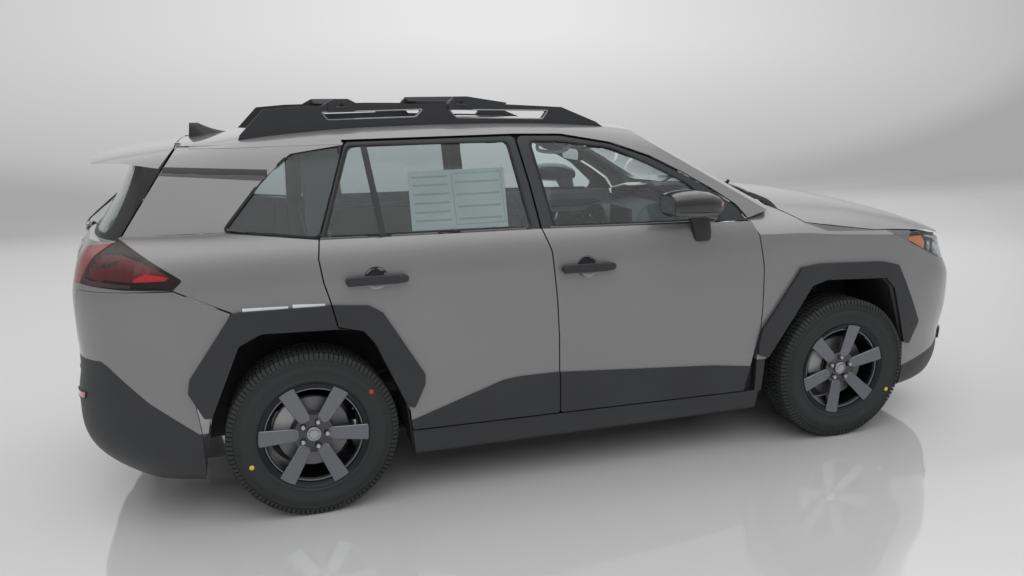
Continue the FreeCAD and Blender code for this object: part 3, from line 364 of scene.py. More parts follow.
# smooth shading of the panels by edge angle
def smooth_tree():
    tree, _, make, link = shape_tree("smooth_by_angle")
    source, sink = make("NodeGroupInput"), make("NodeGroupOutput")
    merge = make("GeometryNodeMergeByDistance")
    merge.inputs["Distance"].default_value = weld
    faces = make("GeometryNodeSetShadeSmooth", domain="FACE")
    angle = make("GeometryNodeInputMeshEdgeAngle")
    sharp = make("FunctionNodeCompare", data_type="FLOAT", operation="GREATER_THAN")
    sharp.inputs[1].default_value = radians(24)
    edges = make("GeometryNodeSetShadeSmooth", domain="EDGE")
    edges.inputs["Shade Smooth"].default_value = False
    link((source, 0, merge, "Geometry"), (merge, "Geometry", faces, "Geometry"),
        (faces, "Geometry", edges, "Geometry"), (angle, "Unsigned Angle", sharp, 0), (sharp, 0, edges, "Selection"),
        (edges, "Geometry", sink, 0))
    return tree


smoother = smooth_tree()
for name, obj in nodes.items():
    obj.data.materials.clear()
    obj.data.materials.append(finish_for(name))
    mod = obj.modifiers.new("smooth", "NODES")
    mod.node_group = smoother


# mesh makers; every maker returns one mesh
def smooth_mesh(bm, mesh):
    for face in bm.faces:
        face.smooth = True
    bm.to_mesh(mesh)
    bm.free()
    return mesh


def mesh_from(verts, faces):
    mesh = bpy.data.meshes.new("shape")
    mesh.from_pydata([tuple(v) for v in verts], [], faces)
    bm = bmesh.new()
    bm.from_mesh(mesh)
    bmesh.ops.remove_doubles(bm, verts=bm.verts, dist=weld)
    bmesh.ops.recalc_face_normals(bm, faces=bm.faces)
    return smooth_mesh(bm, mesh)


def lathe(profile, steps=72, closed=False, start=0.0, sweep=360.0):
    verts, faces = [], []
    count = len(profile)
    full = sweep >= 360.0
    turns = steps if full else steps + 1
    for i in range(turns):
        a = radians(start + sweep * i / steps)
        verts += [(r * cos(a), y, r * sin(a)) for r, y in profile]
    spans = count if closed else count - 1
    for i in range(steps):
        j = (i + 1) % turns
        for k in range(spans):
            m = (k + 1) % count
            faces.append((i * count + k, i * count + m, j * count + m, j * count + k))
    if not full and closed:
        faces.append(tuple(range(count)))
        faces.append(tuple(range((turns - 1) * count, turns * count)))
    return mesh_from(verts, faces)


def loft(rings, caps=True, loop=True):
    verts = [p for ring in rings for p in ring]
    n = len(rings[0])
    faces = []
    for i in range(len(rings) - 1):
        for k in range(n if loop else n - 1):
            m = (k + 1) % n
            faces.append((i * n + k, i * n + m, (i + 1) * n + m, (i + 1) * n + k))
    if caps:
        faces.append(tuple(range(n)))
        faces.append(tuple(range((len(rings) - 1) * n, len(rings) * n)))
    return mesh_from(verts, faces)


def slab(outline, low, high, axis="y", bevel=0.0, cuts=2):
    """A flat outline given thickness along one axis, its edges rounded."""
    def place(p, level):
        return {"x": (level, p[0], p[1]), "y": (p[0], level, p[1]), "z": (p[0], p[1], level)}[axis]
    n = len(outline)
    verts = [place(p, low) for p in outline] + [place(p, high) for p in outline]
    faces = [tuple(range(n)), tuple(range(n, 2 * n))]
    faces += [(i, (i + 1) % n, n + (i + 1) % n, n + i) for i in range(n)]
    mesh = mesh_from(verts, faces)
    return rounded(mesh, bevel, cuts) if bevel else mesh


def soft_slab(outline, radius, low, high, axis="y", bevel=0.0, cuts=2):
    return slab(softened(outline, radius), low, high, axis, bevel, cuts)


def upright(mesh):
    """A turned shape stood on its axis along +Z."""
    mesh.transform(spin(90, "X"))
    return mesh


def rounded(mesh, width, cuts=2):
    bm = bmesh.new()
    bm.from_mesh(mesh)
    edges = [e for e in bm.edges if e.is_manifold and e.calc_face_angle(0) > radians(25)]
    bmesh.ops.bevel(bm, geom=edges, offset=width, segments=cuts, profile=0.6, affect="EDGES", clamp_overlap=True)
    return smooth_mesh(bm, mesh)


def tube(path, radius, sides=10):
    points = [Vector(p) for p in path]
    rings = []
    last = None
    n = len(points)
    for i, p in enumerate(points):
        ahead, behind = points[min(i + 1, n - 1)], points[max(i - 1, 0)]
        way = (ahead - behind).normalized()
        side = way.orthogonal().normalized() if last is None else (last - way * last.dot(way)).normalized()
        last = side
        over = way.cross(side)
        r = radius[i] if isinstance(radius, (list, tuple)) else radius
        rings.append([p + (side * cos(t) + over * sin(t)) * r for t in around(sides)])
    return loft(rings)


def sweep_line(points, count):
    """Evenly many points along a smooth curve through the given ones."""
    out = []
    pts = [Vector(p) for p in points]
    spans = len(pts) - 1
    for i in range(count):
        t = i / (count - 1) * spans
        k = min(int(t), spans - 1)
        u = t - k
        p0 = pts[max(k - 1, 0)]
        p1, p2 = pts[k], pts[k + 1]
        p3 = pts[min(k + 2, spans)]
        out.append(0.5 * ((2 * p1) + (p2 - p0) * u + (2 * p0 - 5 * p1 + 4 * p2 - p3) * u * u
            + (3 * p1 - 3 * p2 + p3 - p0) * u ** 3))
    return out


def piece(name, body, parts, slot=None, stands_for=()):
    """Joins (mesh, finish[, matrix]) parts to one object that rides on a body."""
    bm = bmesh.new()
    finishes = []
    for mesh, finish, *where in parts:
        place = where[0] if where else Matrix.Identity(4)
        if finish not in finishes:
            finishes.append(finish)
        first = len(bm.faces)
        verts = len(bm.verts)
        bm.from_mesh(mesh)
        bm.verts.ensure_lookup_table()
        bm.faces.ensure_lookup_table()
        bmesh.ops.transform(bm, matrix=place, verts=bm.verts[verts:])
        fresh = bm.faces[first:]
        if place.determinant() < 0:
            bmesh.ops.reverse_faces(bm, faces=fresh)
        for face in fresh:
            face.material_index = finishes.index(finish)
    for edge in bm.edges:
        edge.smooth = not (edge.is_manifold and edge.calc_face_angle(0) > radians(32))
    mesh = bpy.data.meshes.new(name)
    bm.to_mesh(mesh)
    bm.free()
    for finish in finishes:
        mesh.materials.append(finish)
    obj = linked(name, mesh)
    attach(obj, body)
    if stands_for:
        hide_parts(*stands_for)
    return obj


# one tree repeats a shape round an axis or along a line, another sets it on points
def repeat_tree():
    tree, sockets, make, link = shape_tree("repeat_shape", (("Count", "Int", 6), ("Turn", "Vector", (0, 0, 0)),
        ("Shift", "Vector", (0, 0, 0)), ("Seed", "Int", 3), ("Wander", "Float", 0.0), ("Finish", "Material")))
    source, sink = make("NodeGroupInput"), make("NodeGroupOutput")
    line, step = make("GeometryNodeMeshLine", mode="OFFSET"), make("GeometryNodeInputIndex")
    turn = make("ShaderNodeVectorMath", operation="SCALE")
    stray = make("FunctionNodeRandomValue", data_type="FLOAT")
    stray.inputs[2].default_value = -1.0
    stray.inputs[3].default_value = 1.0
    amount = make("ShaderNodeMath", operation="MULTIPLY_ADD")
    copies, solid = make("GeometryNodeInstanceOnPoints"), make("GeometryNodeRealizeInstances")
    coat = make("GeometryNodeSetMaterial")
    link((source, "Count", line, "Count"), (source, "Shift", line, "Offset"), (line, "Mesh", copies, "Points"),
        (source, "Geometry", copies, "Instance"), (source, "Turn", turn, 0), (source, "Seed", stray, "Seed"),
        (stray, 1, amount, 0), (source, "Wander", amount, 1), (step, 0, amount, 2), (amount, 0, turn, "Scale"),
        (turn, "Vector", copies, "Rotation"), (copies, 0, solid, 0), (solid, 0, coat, "Geometry"),
        (source, "Finish", coat, "Material"), (coat, 0, sink, 0))
    return tree, sockets


def scatter_tree():
    tree, sockets, make, link = shape_tree("scatter_shape", (("Shape", "Object"), ("Finish", "Material")))
    source, sink = make("NodeGroupInput"), make("NodeGroupOutput")
    info, normal = make("GeometryNodeObjectInfo"), make("GeometryNodeInputNormal")
    align = make("FunctionNodeAlignRotationToVector", axis="Z")
    copies, solid = make("GeometryNodeInstanceOnPoints"), make("GeometryNodeRealizeInstances")
    coat, index = make("GeometryNodeSetMaterial"), make("GeometryNodeInputIndex")
    corner, first = make("ShaderNodeMath", operation="MODULO"), make("ShaderNodeMath", operation="LESS_THAN")
    corner.inputs[1].default_value = 3.0
    first.inputs[1].default_value = 0.5
    link((index, 0, corner, 0), (corner, 0, first, 0), (first, 0, copies, "Selection"),
        (source, "Shape", info, "Object"), (source, "Geometry", copies, "Points"),
        (info, "Geometry", copies, "Instance"), (normal, 0, align, "Vector"), (align, 0, copies, "Rotation"),
        (copies, 0, solid, 0), (solid, 0, coat, "Geometry"), (source, "Finish", coat, "Material"), (coat, 0, sink, 0))
    return tree, sockets


repeater, scatter = repeat_tree(), scatter_tree()


def evaluated(obj):
    graph = bpy.context.evaluated_depsgraph_get()
    return bpy.data.meshes.new_from_object(obj.evaluated_get(graph))


def linked(name, mesh):
    obj = bpy.data.objects.new(name, mesh)
    scene.collection.objects.link(obj)
    return obj


def grown(mesh, group, values, *helpers):
    """The mesh put through a tree with these inputs, as one plain mesh."""
    obj = linked("grown", mesh)
    mod = obj.modifiers.new("grown", "NODES")
    mod.node_group, sockets = group
    for label, value in values.items():
        mod[sockets[label]] = value
    out = evaluated(obj)
    for spent in (obj, *helpers):
        bpy.data.objects.remove(spent)
    return out


def repeated(mesh, finish, count, turn=(0, 0, 0), shift=(0, 0, 0)):
    """The mesh copied count times, each turned and shifted once more."""
    return grown(mesh, repeater, {"Count": count, "Turn": tuple(radians(a) for a in turn), "Shift": shift, "Seed": 3,
        "Wander": 0.0, "Finish": finish})


# wheels: outer face towards -Y, centre at the origin
tread_top = 0.3692
tread_floor = 0.361
pitches = 54


def tread_pitch():
    arc = 2 * pi / pitches
    verts, faces = [], []

    def block(corners, top=tread_top, low=tread_floor - 0.002, draft=0.0016):
        base = len(verts)
        n = len(corners)
        cx = sum(c[0] for c in corners) / n
        cy = sum(c[1] for c in corners) / n
        for r, grow in ((low, draft), (top - 0.0012, 0.0), (top, -0.001)):
            for s, y in corners:
                dx, dy = s * 0.369 - cx * 0.369, y - cy
                size = hypot(dx, dy)
                a = s + dx / size * grow / 0.369
                yy = y + dy / size * grow
                verts.append((r * cos(a), yy, r * sin(a)))
        for level in (0, 1):
            for k in range(n):
                m = (k + 1) % n
                faces.append((base + level * n + k, base + level * n + m, base + (level + 1) * n + m,
                    base + (level + 1) * n + k))
        faces.append(tuple(range(base + 2 * n, base + 3 * n)))

    def shoulder(sign, shift, wide):
        line = [(tread_top, 0.064), (tread_top, 0.0945), (0.3668, 0.103), (0.359, 0.1095), (0.349, 0.114),
            (0.34, 0.116)]
        under = [(tread_floor - 0.002, 0.062), (0.359, 0.093), (0.356, 0.1), (0.35, 0.106), (0.343, 0.1105),
            (0.339, 0.113)]
        base = len(verts)
        for i, ((r, y), (q, z)) in enumerate(zip(line, under)):
            narrow = wide * (1.0 if i < 4 else 0.86)
            a0 = shift + 0.5 * (wide - narrow)
            for a, rr, yy in ((a0, q, z), (a0, r, y), (a0 + narrow, r, y), (a0 + narrow, q, z)):
                verts.append((rr * cos(a * arc), sign * yy, rr * sin(a * arc)))
        n = len(line)
        for i in range(n - 1):
            for k in range(3):
                faces.append((base + 4 * i + k, base + 4 * i + k + 1, base + 4 * i + k + 5, base + 4 * i + k + 4))
        faces.append((base, base + 1, base + 2, base + 3))
        faces.append(tuple(base + 4 * (n - 1) + k for k in range(4)))

    for sign, off in ((1, 0.0), (-1, 0.5)):
        def at(f, y):
            return ((f + off) * arc, sign * y)
        block([at(0.06, 0.024), at(0.52, 0.021), at(0.6, 0.038), at(0.5, 0.057), at(0.02, 0.057), at(0.12, 0.04)])
        block([at(0.62, 0.026), at(0.98, 0.023), at(0.95, 0.052), at(0.66, 0.057), at(0.74, 0.04)])
        shoulder(sign, off + 0.04, 0.4)
        shoulder(sign, off + 0.54, 0.4)
    block([(0.05 * arc, -0.016), (0.42 * arc, -0.012), (0.48 * arc, 0.015), (0.1 * arc, 0.017)])
    block([(0.55 * arc, -0.015), (0.94 * arc, -0.017), (0.99 * arc, 0.013), (0.6 * arc, 0.016)])
    return mesh_from(verts, faces)


def tyre_parts():
    half = flat(224, 98.5, 234, 107, 244, 111.8, 249, 115, 253.5, 115.8, 256, 114.2, 260, 114, 272, 116, 286, 117,
        287.2, 117.4, 298, 117.5, 309, 117.2, 310.2, 116.6, 323, 115.8, 330, 115, 331.2, 115.8, 334.2, 115.4, 335.2,
        114.2, 344, 110.5, 351, 105, 357.5, 96, 360.2, 82, 361, 60, 361.2, 30)
    profile = [(r, -y) for r, y in half] + [(0.3613, 0.0)] + [(r, y) for r, y in reversed(half)]
    carcass = lathe(profile, 120)
    rib = slab(flat(311.5, -1.6, 328.5, -0.8, 328.5, 0.8, 311.5, 1.6), -0.1176, -0.115, axis="y")
    hatch = repeated(rib, tyre_rubber, 180, turn=(0, 2, 0))
    return [(carcass, tyre_rubber), (repeated(tread_pitch(), tyre_rubber, pitches, turn=(0, 360 / pitches, 0)),
        tyre_rubber), (hatch, tyre_rubber)]


def spoke_mesh():
    stations = [(0.066, 0.017, -0.085, 0.03), (0.078, 0.025, -0.088, 0.034), (0.088, 0.0285, -0.0925, 0.036),
        (0.11, 0.03, -0.0965, 0.036), (0.16, 0.0325, -0.1025, 0.034), (0.205, 0.035, -0.1075, 0.03),
        (0.228, 0.0362, -0.1102, 0.022), (0.236, 0.0366, -0.111, 0.014)]
    rings = []
    for u, w, face, deep in stations:
        ring = []
        for v, y in ((-w, face + 0.0022), (-w + 0.0022, face), (0, face), (w - 0.0022, face), (w, face + 0.0022),
                (w - 0.003, face + 0.012), (w - 0.01, face + deep), (-w + 0.01, face + deep),
                (-w + 0.003, face + 0.012)):
            ring.append((sqrt(max(u * u - v * v, 0.0001)), y, v))
        rings.append(ring)
    return loft(rings)


def rim_parts():
    barrel = lathe(flat(224.5, -100, 232, -106.2, 238, -111, 238.4, -112.4, 236.6, -112.8, 233, -110, 224, -105, 216.5,
        -102, 215, -99, 214.6, -90, 208, -87, 204, -84, 203, -70, 199, -30, 197, 40, 206, 80, 218, 96, 228, 106, 229,
        108, 231, 104, 224.4, 99.5), 96)
    ring = lathe(flat(212.8, -96, 211.8, -97.5, 207, -96.5, 206, -94.5, 207, -92.5, 212, -93), 96, closed=True)
    plate = lathe(flat(0, -79, 30, -79, 46, -80, 70, -84.2, 83.5, -86.8, 86.2, -85.6, 86.2, -60, 60, -45), 60)
    cap = lathe(flat(0, -95.5, 13, -95.4, 22.5, -94.6, 26.2, -93.2, 27.2, -91.6, 29, -91.4, 30.6, -90.2, 31.2, -87,
        31.2, -78), 48)
    groove = lathe(flat(21.2, -96.2, 22.2, -95.8, 22.2, -94, 21.2, -94.4), 48, closed=True)
    hexes = [(0.0105 * cos(k * pi / 3), 0.0105 * sin(k * pi / 3)) for k in range(6)]
    nut = slab(hexes, -0.0965, -0.078, axis="y", bevel=0.0018)
    crown = lathe(flat(0, -101, 4.5, -100.4, 7.6, -98.5, 8.8, -95.5), 20)
    seat = lathe(flat(15, -83.5, 14.2, -85, 12, -85, 11.2, -81.5), 24)
    for mesh in (nut, crown, seat):
        mesh.transform(put(0.0572, 0, 0))
    stem = tube(trace(206, -86, 0, 201, -100, 0, 198.5, -109, 0), [0.0042, 0.0036, 0.004], 12)
    turn = (0, 60, 0)
    fifth = (0, 72, 0)
    parts = [(barrel, wheel_dark), (ring, wheel_face), (plate, gloss_black), (cap, cap_grey), (groove, wheel_dark),
        (repeated(spoke_mesh(), wheel_face, 6, turn), wheel_face), (repeated(nut, bolt_metal, 5, fifth), bolt_metal),
        (repeated(crown, bolt_metal, 5, fifth), bolt_metal), (repeated(seat, wheel_dark, 5, fifth), wheel_dark)]
    parts.append((stem, gloss_black, spin(-34, "Y")))
    return parts


def disc_parts():
    disc = lathe(flat(88, -43, 156, -43, 157.2, -41.8, 157.2, -36, 150, -35, 150, -27, 157.2, -26, 157.2, -20, 88,
        -20), 84, closed=True)
    hat = lathe(flat(60, -44, 70, -60, 86, -60, 89, -56, 89, -20, 60, -18), 60, closed=True)
    vane = slab(flat(104, -2.2, 152, -1.2, 152, 1.2, 104, 2.2), -0.0362, -0.0262, axis="y")
    return [(disc, disc_metal), (hat, rusty_iron), (repeated(vane, rusty_iron, 36, (0, 10, 0)), rusty_iron)]


def caliper_parts():
    body = lathe(flat(102, -64, 170, -64, 176, -60, 180, -52, 180, 5, 174, 12, 104, 12, 104, -17, 160, -17, 160, -46,
        102, -46), 12, closed=True, start=-26, sweep=52)
    body = rounded(body, 0.003)
    bridge = lathe(flat(176, -50, 184, -48, 184, 0, 176, 2), 8, closed=True, start=-12, sweep=24)
    pins = [tube([(0.15 * cos(a), -0.006, 0.15 * sin(a)), (0.15 * cos(a), 0.03, 0.15 * sin(a))], 0.009, 12)
        for a in (-0.36, 0.36)]
    return [(body, caliper_grey), (rounded(bridge, 0.002), caliper_grey)] + [(p, rusty_iron) for p in pins]


def make_wheels():
    tyre_mesh = tyre_parts()
    rim_mesh = rim_parts()
    disc_mesh = disc_parts()
    caliper_mesh = caliper_parts()
    for end, x, phase, grip in (("front", front_x, -16.0, 200.0), ("rear", rear_x, 3.0, 205.0)):
        for tag, s in (("right", -1), ("left", 1)):
            flip = Matrix.Diagonal((1, -s, 1, 1))
            spot = put(x, s * wheel_y, hub_z) @ flip
            spun = spot @ spin(phase, "Y")
            body = "wheel_" + end + "_" + tag
            piece("tyre_tread_" + end + "_" + tag, body, [(m, f, spot) for m, f, *_ in tyre_mesh], "tyre",
                ["tyre_" + end + "_" + tag])
            parts = [(p[0], p[1], spun @ p[2] if len(p) > 2 else spun) for p in rim_mesh]
            parts += [(m, f, spot) for m, f in disc_mesh]
            piece("wheel_disc_" + end + "_" + tag, body, parts, "wheel_metal", ["rim_" + end + "_" + tag])
            carrier = "knuckle_" + tag if end == "front" else "body"
            turned = spot @ spin(grip, "Y")
            piece("caliper_" + end + "_" + tag, carrier, [(p[0], p[1], turned) for p in caliper_mesh])


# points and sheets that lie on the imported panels
def surface_of(*names):
    verts, faces = [], []
    for name in names:
        base = len(verts)
        verts += [nodes[name].matrix_world @ v.co for v in nodes[name].data.vertices]
        faces += [[base + i for i in poly.vertices] for poly in nodes[name].data.polygons]
    return BVHTree.FromPolygons(verts, faces)


looks = {"right": (0, 1, 0), "left": (0, -1, 0), "front": (-1, 0, 0), "back": (1, 0, 0), "top": (0, 0, -1),
    "under": (0, 0, 1)}


def cast(tree, side, u, v, start=None):
    """Point and normal where the surface is met at flat place (u, v), seen from that side."""
    way = Vector(looks[side])
    if side in ("right", "left"):
        far, origin = -3.0, Vector((u, 0, v))
    elif side in ("front", "back"):
        far, origin = -4.0, Vector((0, u, v))
    else:
        far, origin = -3.0, Vector((u, v, 0))
    far = far if start is None else start
    origin += way * far
    spot, normal, _, _ = tree.ray_cast(origin, way, 8.0)
    if spot is None:
        spot, normal, _, _ = tree.find_nearest(origin - way * far + way * -0.9)
    if normal.dot(way) > 0:
        normal = -normal
    return spot, normal


def divided(outline, step, closed=True):
    out = []
    count = len(outline)
    for i in range(count if closed else count - 1):
        a, b = Vector(outline[i]), Vector(outline[(i + 1) % count])
        cuts = max(1, int((b - a).length / step + 0.5))
        out += [a + (b - a) * (k / cuts) for k in range(cuts)]
    return out if closed else out + [Vector(outline[-1])]


def softened(outline, radius):
    out = []
    count = len(outline)
    for i, p in enumerate(outline):
        here, a, b = Vector(p), Vector(outline[i - 1]), Vector(outline[(i + 1) % count])
        ra = min(radius, 0.45 * (a - here).length)
        rb = min(radius, 0.45 * (b - here).length)
        start = here + (a - here).normalized() * ra
        end = here + (b - here).normalized() * rb
        for k in range(5):
            t = k / 4
            out.append(tuple(start * (1 - t) ** 2 + here * 2 * t * (1 - t) + end * t * t))
    return out


def inside(p, outline):
    hit = False
    for i in range(len(outline)):
        a, b = outline[i], outline[i - 1]
        if (a[1] > p[1]) != (b[1] > p[1]) and p[0] < (b[0] - a[0]) * (p[1] - a[1]) / (b[1] - a[1]) + a[0]:
            hit = not hit
    return hit


def draped(tree, side, outline, lift=0.0, thick=0.002, step=0.03, start=None):
    """A sheet cut to an outline, laid on the surface seen from that side."""
    edge = divided(outline, step)
    inner = []
    xs, ys = [p[0] for p in outline], [p[1] for p in outline]
    u = min(xs) + step * 0.5
    while u < max(xs):
        v = min(ys) + step * 0.5
        while v < max(ys):
            if inside((u, v), outline) and min((Vector((u, v)) - Vector(e[:2])).length for e in edge) > step * 0.45:
                inner.append(Vector((u, v)))
            v += step
        u += step
    flat = [Vector(e[:2]) for e in edge] + inner
    count = len(edge)
    loop = [(i, (i + 1) % count) for i in range(count)]
    flat, _, tris, _, _, _ = delaunay_2d_cdt(flat, loop, [], 1, 1e-6)
    low, high = [], []
    for p in flat:
        spot, normal = cast(tree, side, p[0], p[1], start)
        low.append(spot + normal * lift)
        high.append(spot + normal * (lift + thick))
    n = len(flat)
    faces = [tuple(t) for t in tris] + [tuple(n + i for i in reversed(t)) for t in tris]
    used = {}
    for t in tris:
        for i in range(len(t)):
            a, b = t[i], t[(i + 1) % len(t)]
            used[(min(a, b), max(a, b))] = used.get((min(a, b), max(a, b)), 0) + 1
    faces += [(a, b, n + b, n + a) for (a, b), times in used.items() if times == 1]
    return mesh_from(low + high, faces)


def bead(path, ups, width, height, closed=False, sink=0.0012):
    """A rounded strip along a path, standing on the side its ups point to."""
    rings = []
    n = len(path)
    for i, p in enumerate(path):
        ahead = path[(i + 1) % n] if closed or i + 1 < n else p
        behind = path[i - 1] if closed or i else p
        way = (ahead - behind).normalized()
        up = ups[i]
        across = way.cross(up).normalized()
        rings.append([p + across * (a * width * 0.5) + up * h for a, h in ((-1, -sink), (-1, height * 0.55),
            (-0.62, height), (0.62, height), (1, height * 0.55), (1, -sink))])
    if closed:
        rings.append(rings[0])
    return loft(rings, caps=not closed)


def line_on(tree, side, points, step=0.03, closed=False, start=None):
    path, ups = [], []
    for p in divided(points, step, closed):
        spot, normal = cast(tree, side, p[0], p[1], start)
        path.append(spot)
        ups.append(normal)
    return path, ups


def strip_on(tree, side, points, width, height, step=0.03, closed=False, start=None, lift=0.0):
    path, ups = line_on(tree, side, points, step, closed, start)
    path = [p + u * lift for p, u in zip(path, ups)]
    return bead(path, ups, width, height, closed)


def moved(mesh, matrix):
    mesh = mesh.copy()
    mesh.transform(matrix)
    if matrix.determinant() < 0:
        mesh.flip_normals()
    return mesh


def mirrored(parts):
    flip = Matrix.Diagonal((1, -1, 1, 1))
    return [(p[0], p[1], flip @ p[2] if len(p) > 2 else flip) for p in parts]


def sides(name, body, parts, slot=None, stands_for=()):
    """The right-hand piece and its mirror image on the left."""
    for tag, group in (("right", parts), ("left", mirrored(parts))):
        host = body if body == "body" else body + "_" + tag
        piece(name + "_" + tag, host, group, slot, [n + "_" + tag for n in stands_for])


def spot_frame(place, normal):
    z = Vector(normal).normalized()
    x = Vector((0, 0, 1)).cross(z)
    x = x.normalized() if x.length > 0.05 else Vector((0, 1, 0))
    y = z.cross(x)
    turn = Matrix((x, y, z)).transposed().to_4x4()
    return Matrix.Translation(place) @ turn


def dome(radius, height, steps=20, foot=0.001):
    """A low round cap along +Z."""
    profile = [(0.0, height), (radius * 0.55, height * 0.93), (radius * 0.85, height * 0.66), (radius, height * 0.15),
        (radius, -foot)]
    return upright(lathe(profile, steps))


# seats: crowned pads swollen as cloth, then seams and posts
last_frame = 20


def pad_shape(stations, half_width, bolster, wing=0.78):
    """Stations run along the pad: middle point, direction, thickness, width share; the pad lies across Y."""
    rings = []
    for x, z, ax, az, thick, wide in stations:
        up = Vector((-az, 0, ax)).normalized()
        ring = []
        w = half_width * wide
        for s, t in ((0.9, -0.5), (0.45, -0.52), (0, -0.52), (-0.45, -0.52), (-0.9, -0.5), (-1.0, -0.25), (-1.0, 0.2),
                (-0.96, 0.48), (-wing, 0.5), (-wing * 0.55, 0.42), (0, 0.4), (wing * 0.55, 0.42), (wing, 0.5),
                (0.96, 0.48), (1.0, 0.2), (1.0, -0.25)):
            rise = bolster if t > 0.45 else 0.0
            ring.append(Vector((x, s * w, z)) + up * (t * thick + rise))
        rings.append(ring)
    return loft(rings)


def swollen(mesh, voxel, cap):
    """The pad filled and relaxed as cloth, no point moving further than cap."""
    obj = linked("pad", mesh)
    bpy.context.view_layer.objects.active = obj
    mod = obj.modifiers.new("voxels", "REMESH")
    mod.mode = "VOXEL"
    mod.voxel_size = voxel
    mod.use_smooth_shade = True
    dense = evaluated(obj)
    obj.modifiers.clear()
    obj.data = dense
    cloth = obj.modifiers.new("cloth", "CLOTH")
    cloth.settings.quality = 5
    cloth.settings.use_pressure = True
    cloth.settings.uniform_pressure_force = 4.0
    cloth.settings.effector_weights.gravity = 0.0
    cloth.collision_settings.use_collision = False
    cloth.point_cache.frame_start = 1
    cloth.point_cache.frame_end = last_frame
    for number in range(1, last_frame + 1):
        scene.frame_set(number)
    filled = evaluated(obj)
    for a, b in zip(dense.vertices, filled.vertices):
        step = b.co - a.co
        if step.length > cap:
            b.co = a.co + step * (cap / step.length)
    obj.modifiers.clear()
    obj.data = filled
    scene.frame_set(1)
    smooth = obj.modifiers.new("relax", "SMOOTH")
    smooth.factor = 0.5
    smooth.iterations = 3
    out = evaluated(obj)
    bpy.data.objects.remove(obj)
    for poly in out.polygons:
        poly.use_smooth = True
    return out


def creased(mesh, planes, depth, width):
    """Presses sewn channels into the pad along planes (point, normal)."""
    for v in mesh.vertices:
        for point, normal, reach in planes:
            away = abs((v.co - Vector(point)).dot(Vector(normal)))
            if away < width * 3 and reach(v.co):
                v.co -= v.normal * depth * exp(-(away / width) ** 2)
    return mesh


def two_tone(name, body, mesh, middle, edge, split, place):
    """One padded piece whose bolsters have another cover."""
    mesh = moved(mesh, place)
    mesh.materials.clear()
    for finish in (middle, edge):
        mesh.materials.append(finish)
    for poly in mesh.polygons:
        poly.material_index = 1 if split(place.inverted() @ poly.center) else 0
        poly.use_smooth = True
    obj = linked(name, mesh)
    detail = obj.modifiers.new("finer", "SUBSURF")
    detail.levels = 1
    detail.render_levels = 1
    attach(obj, body)
    return obj


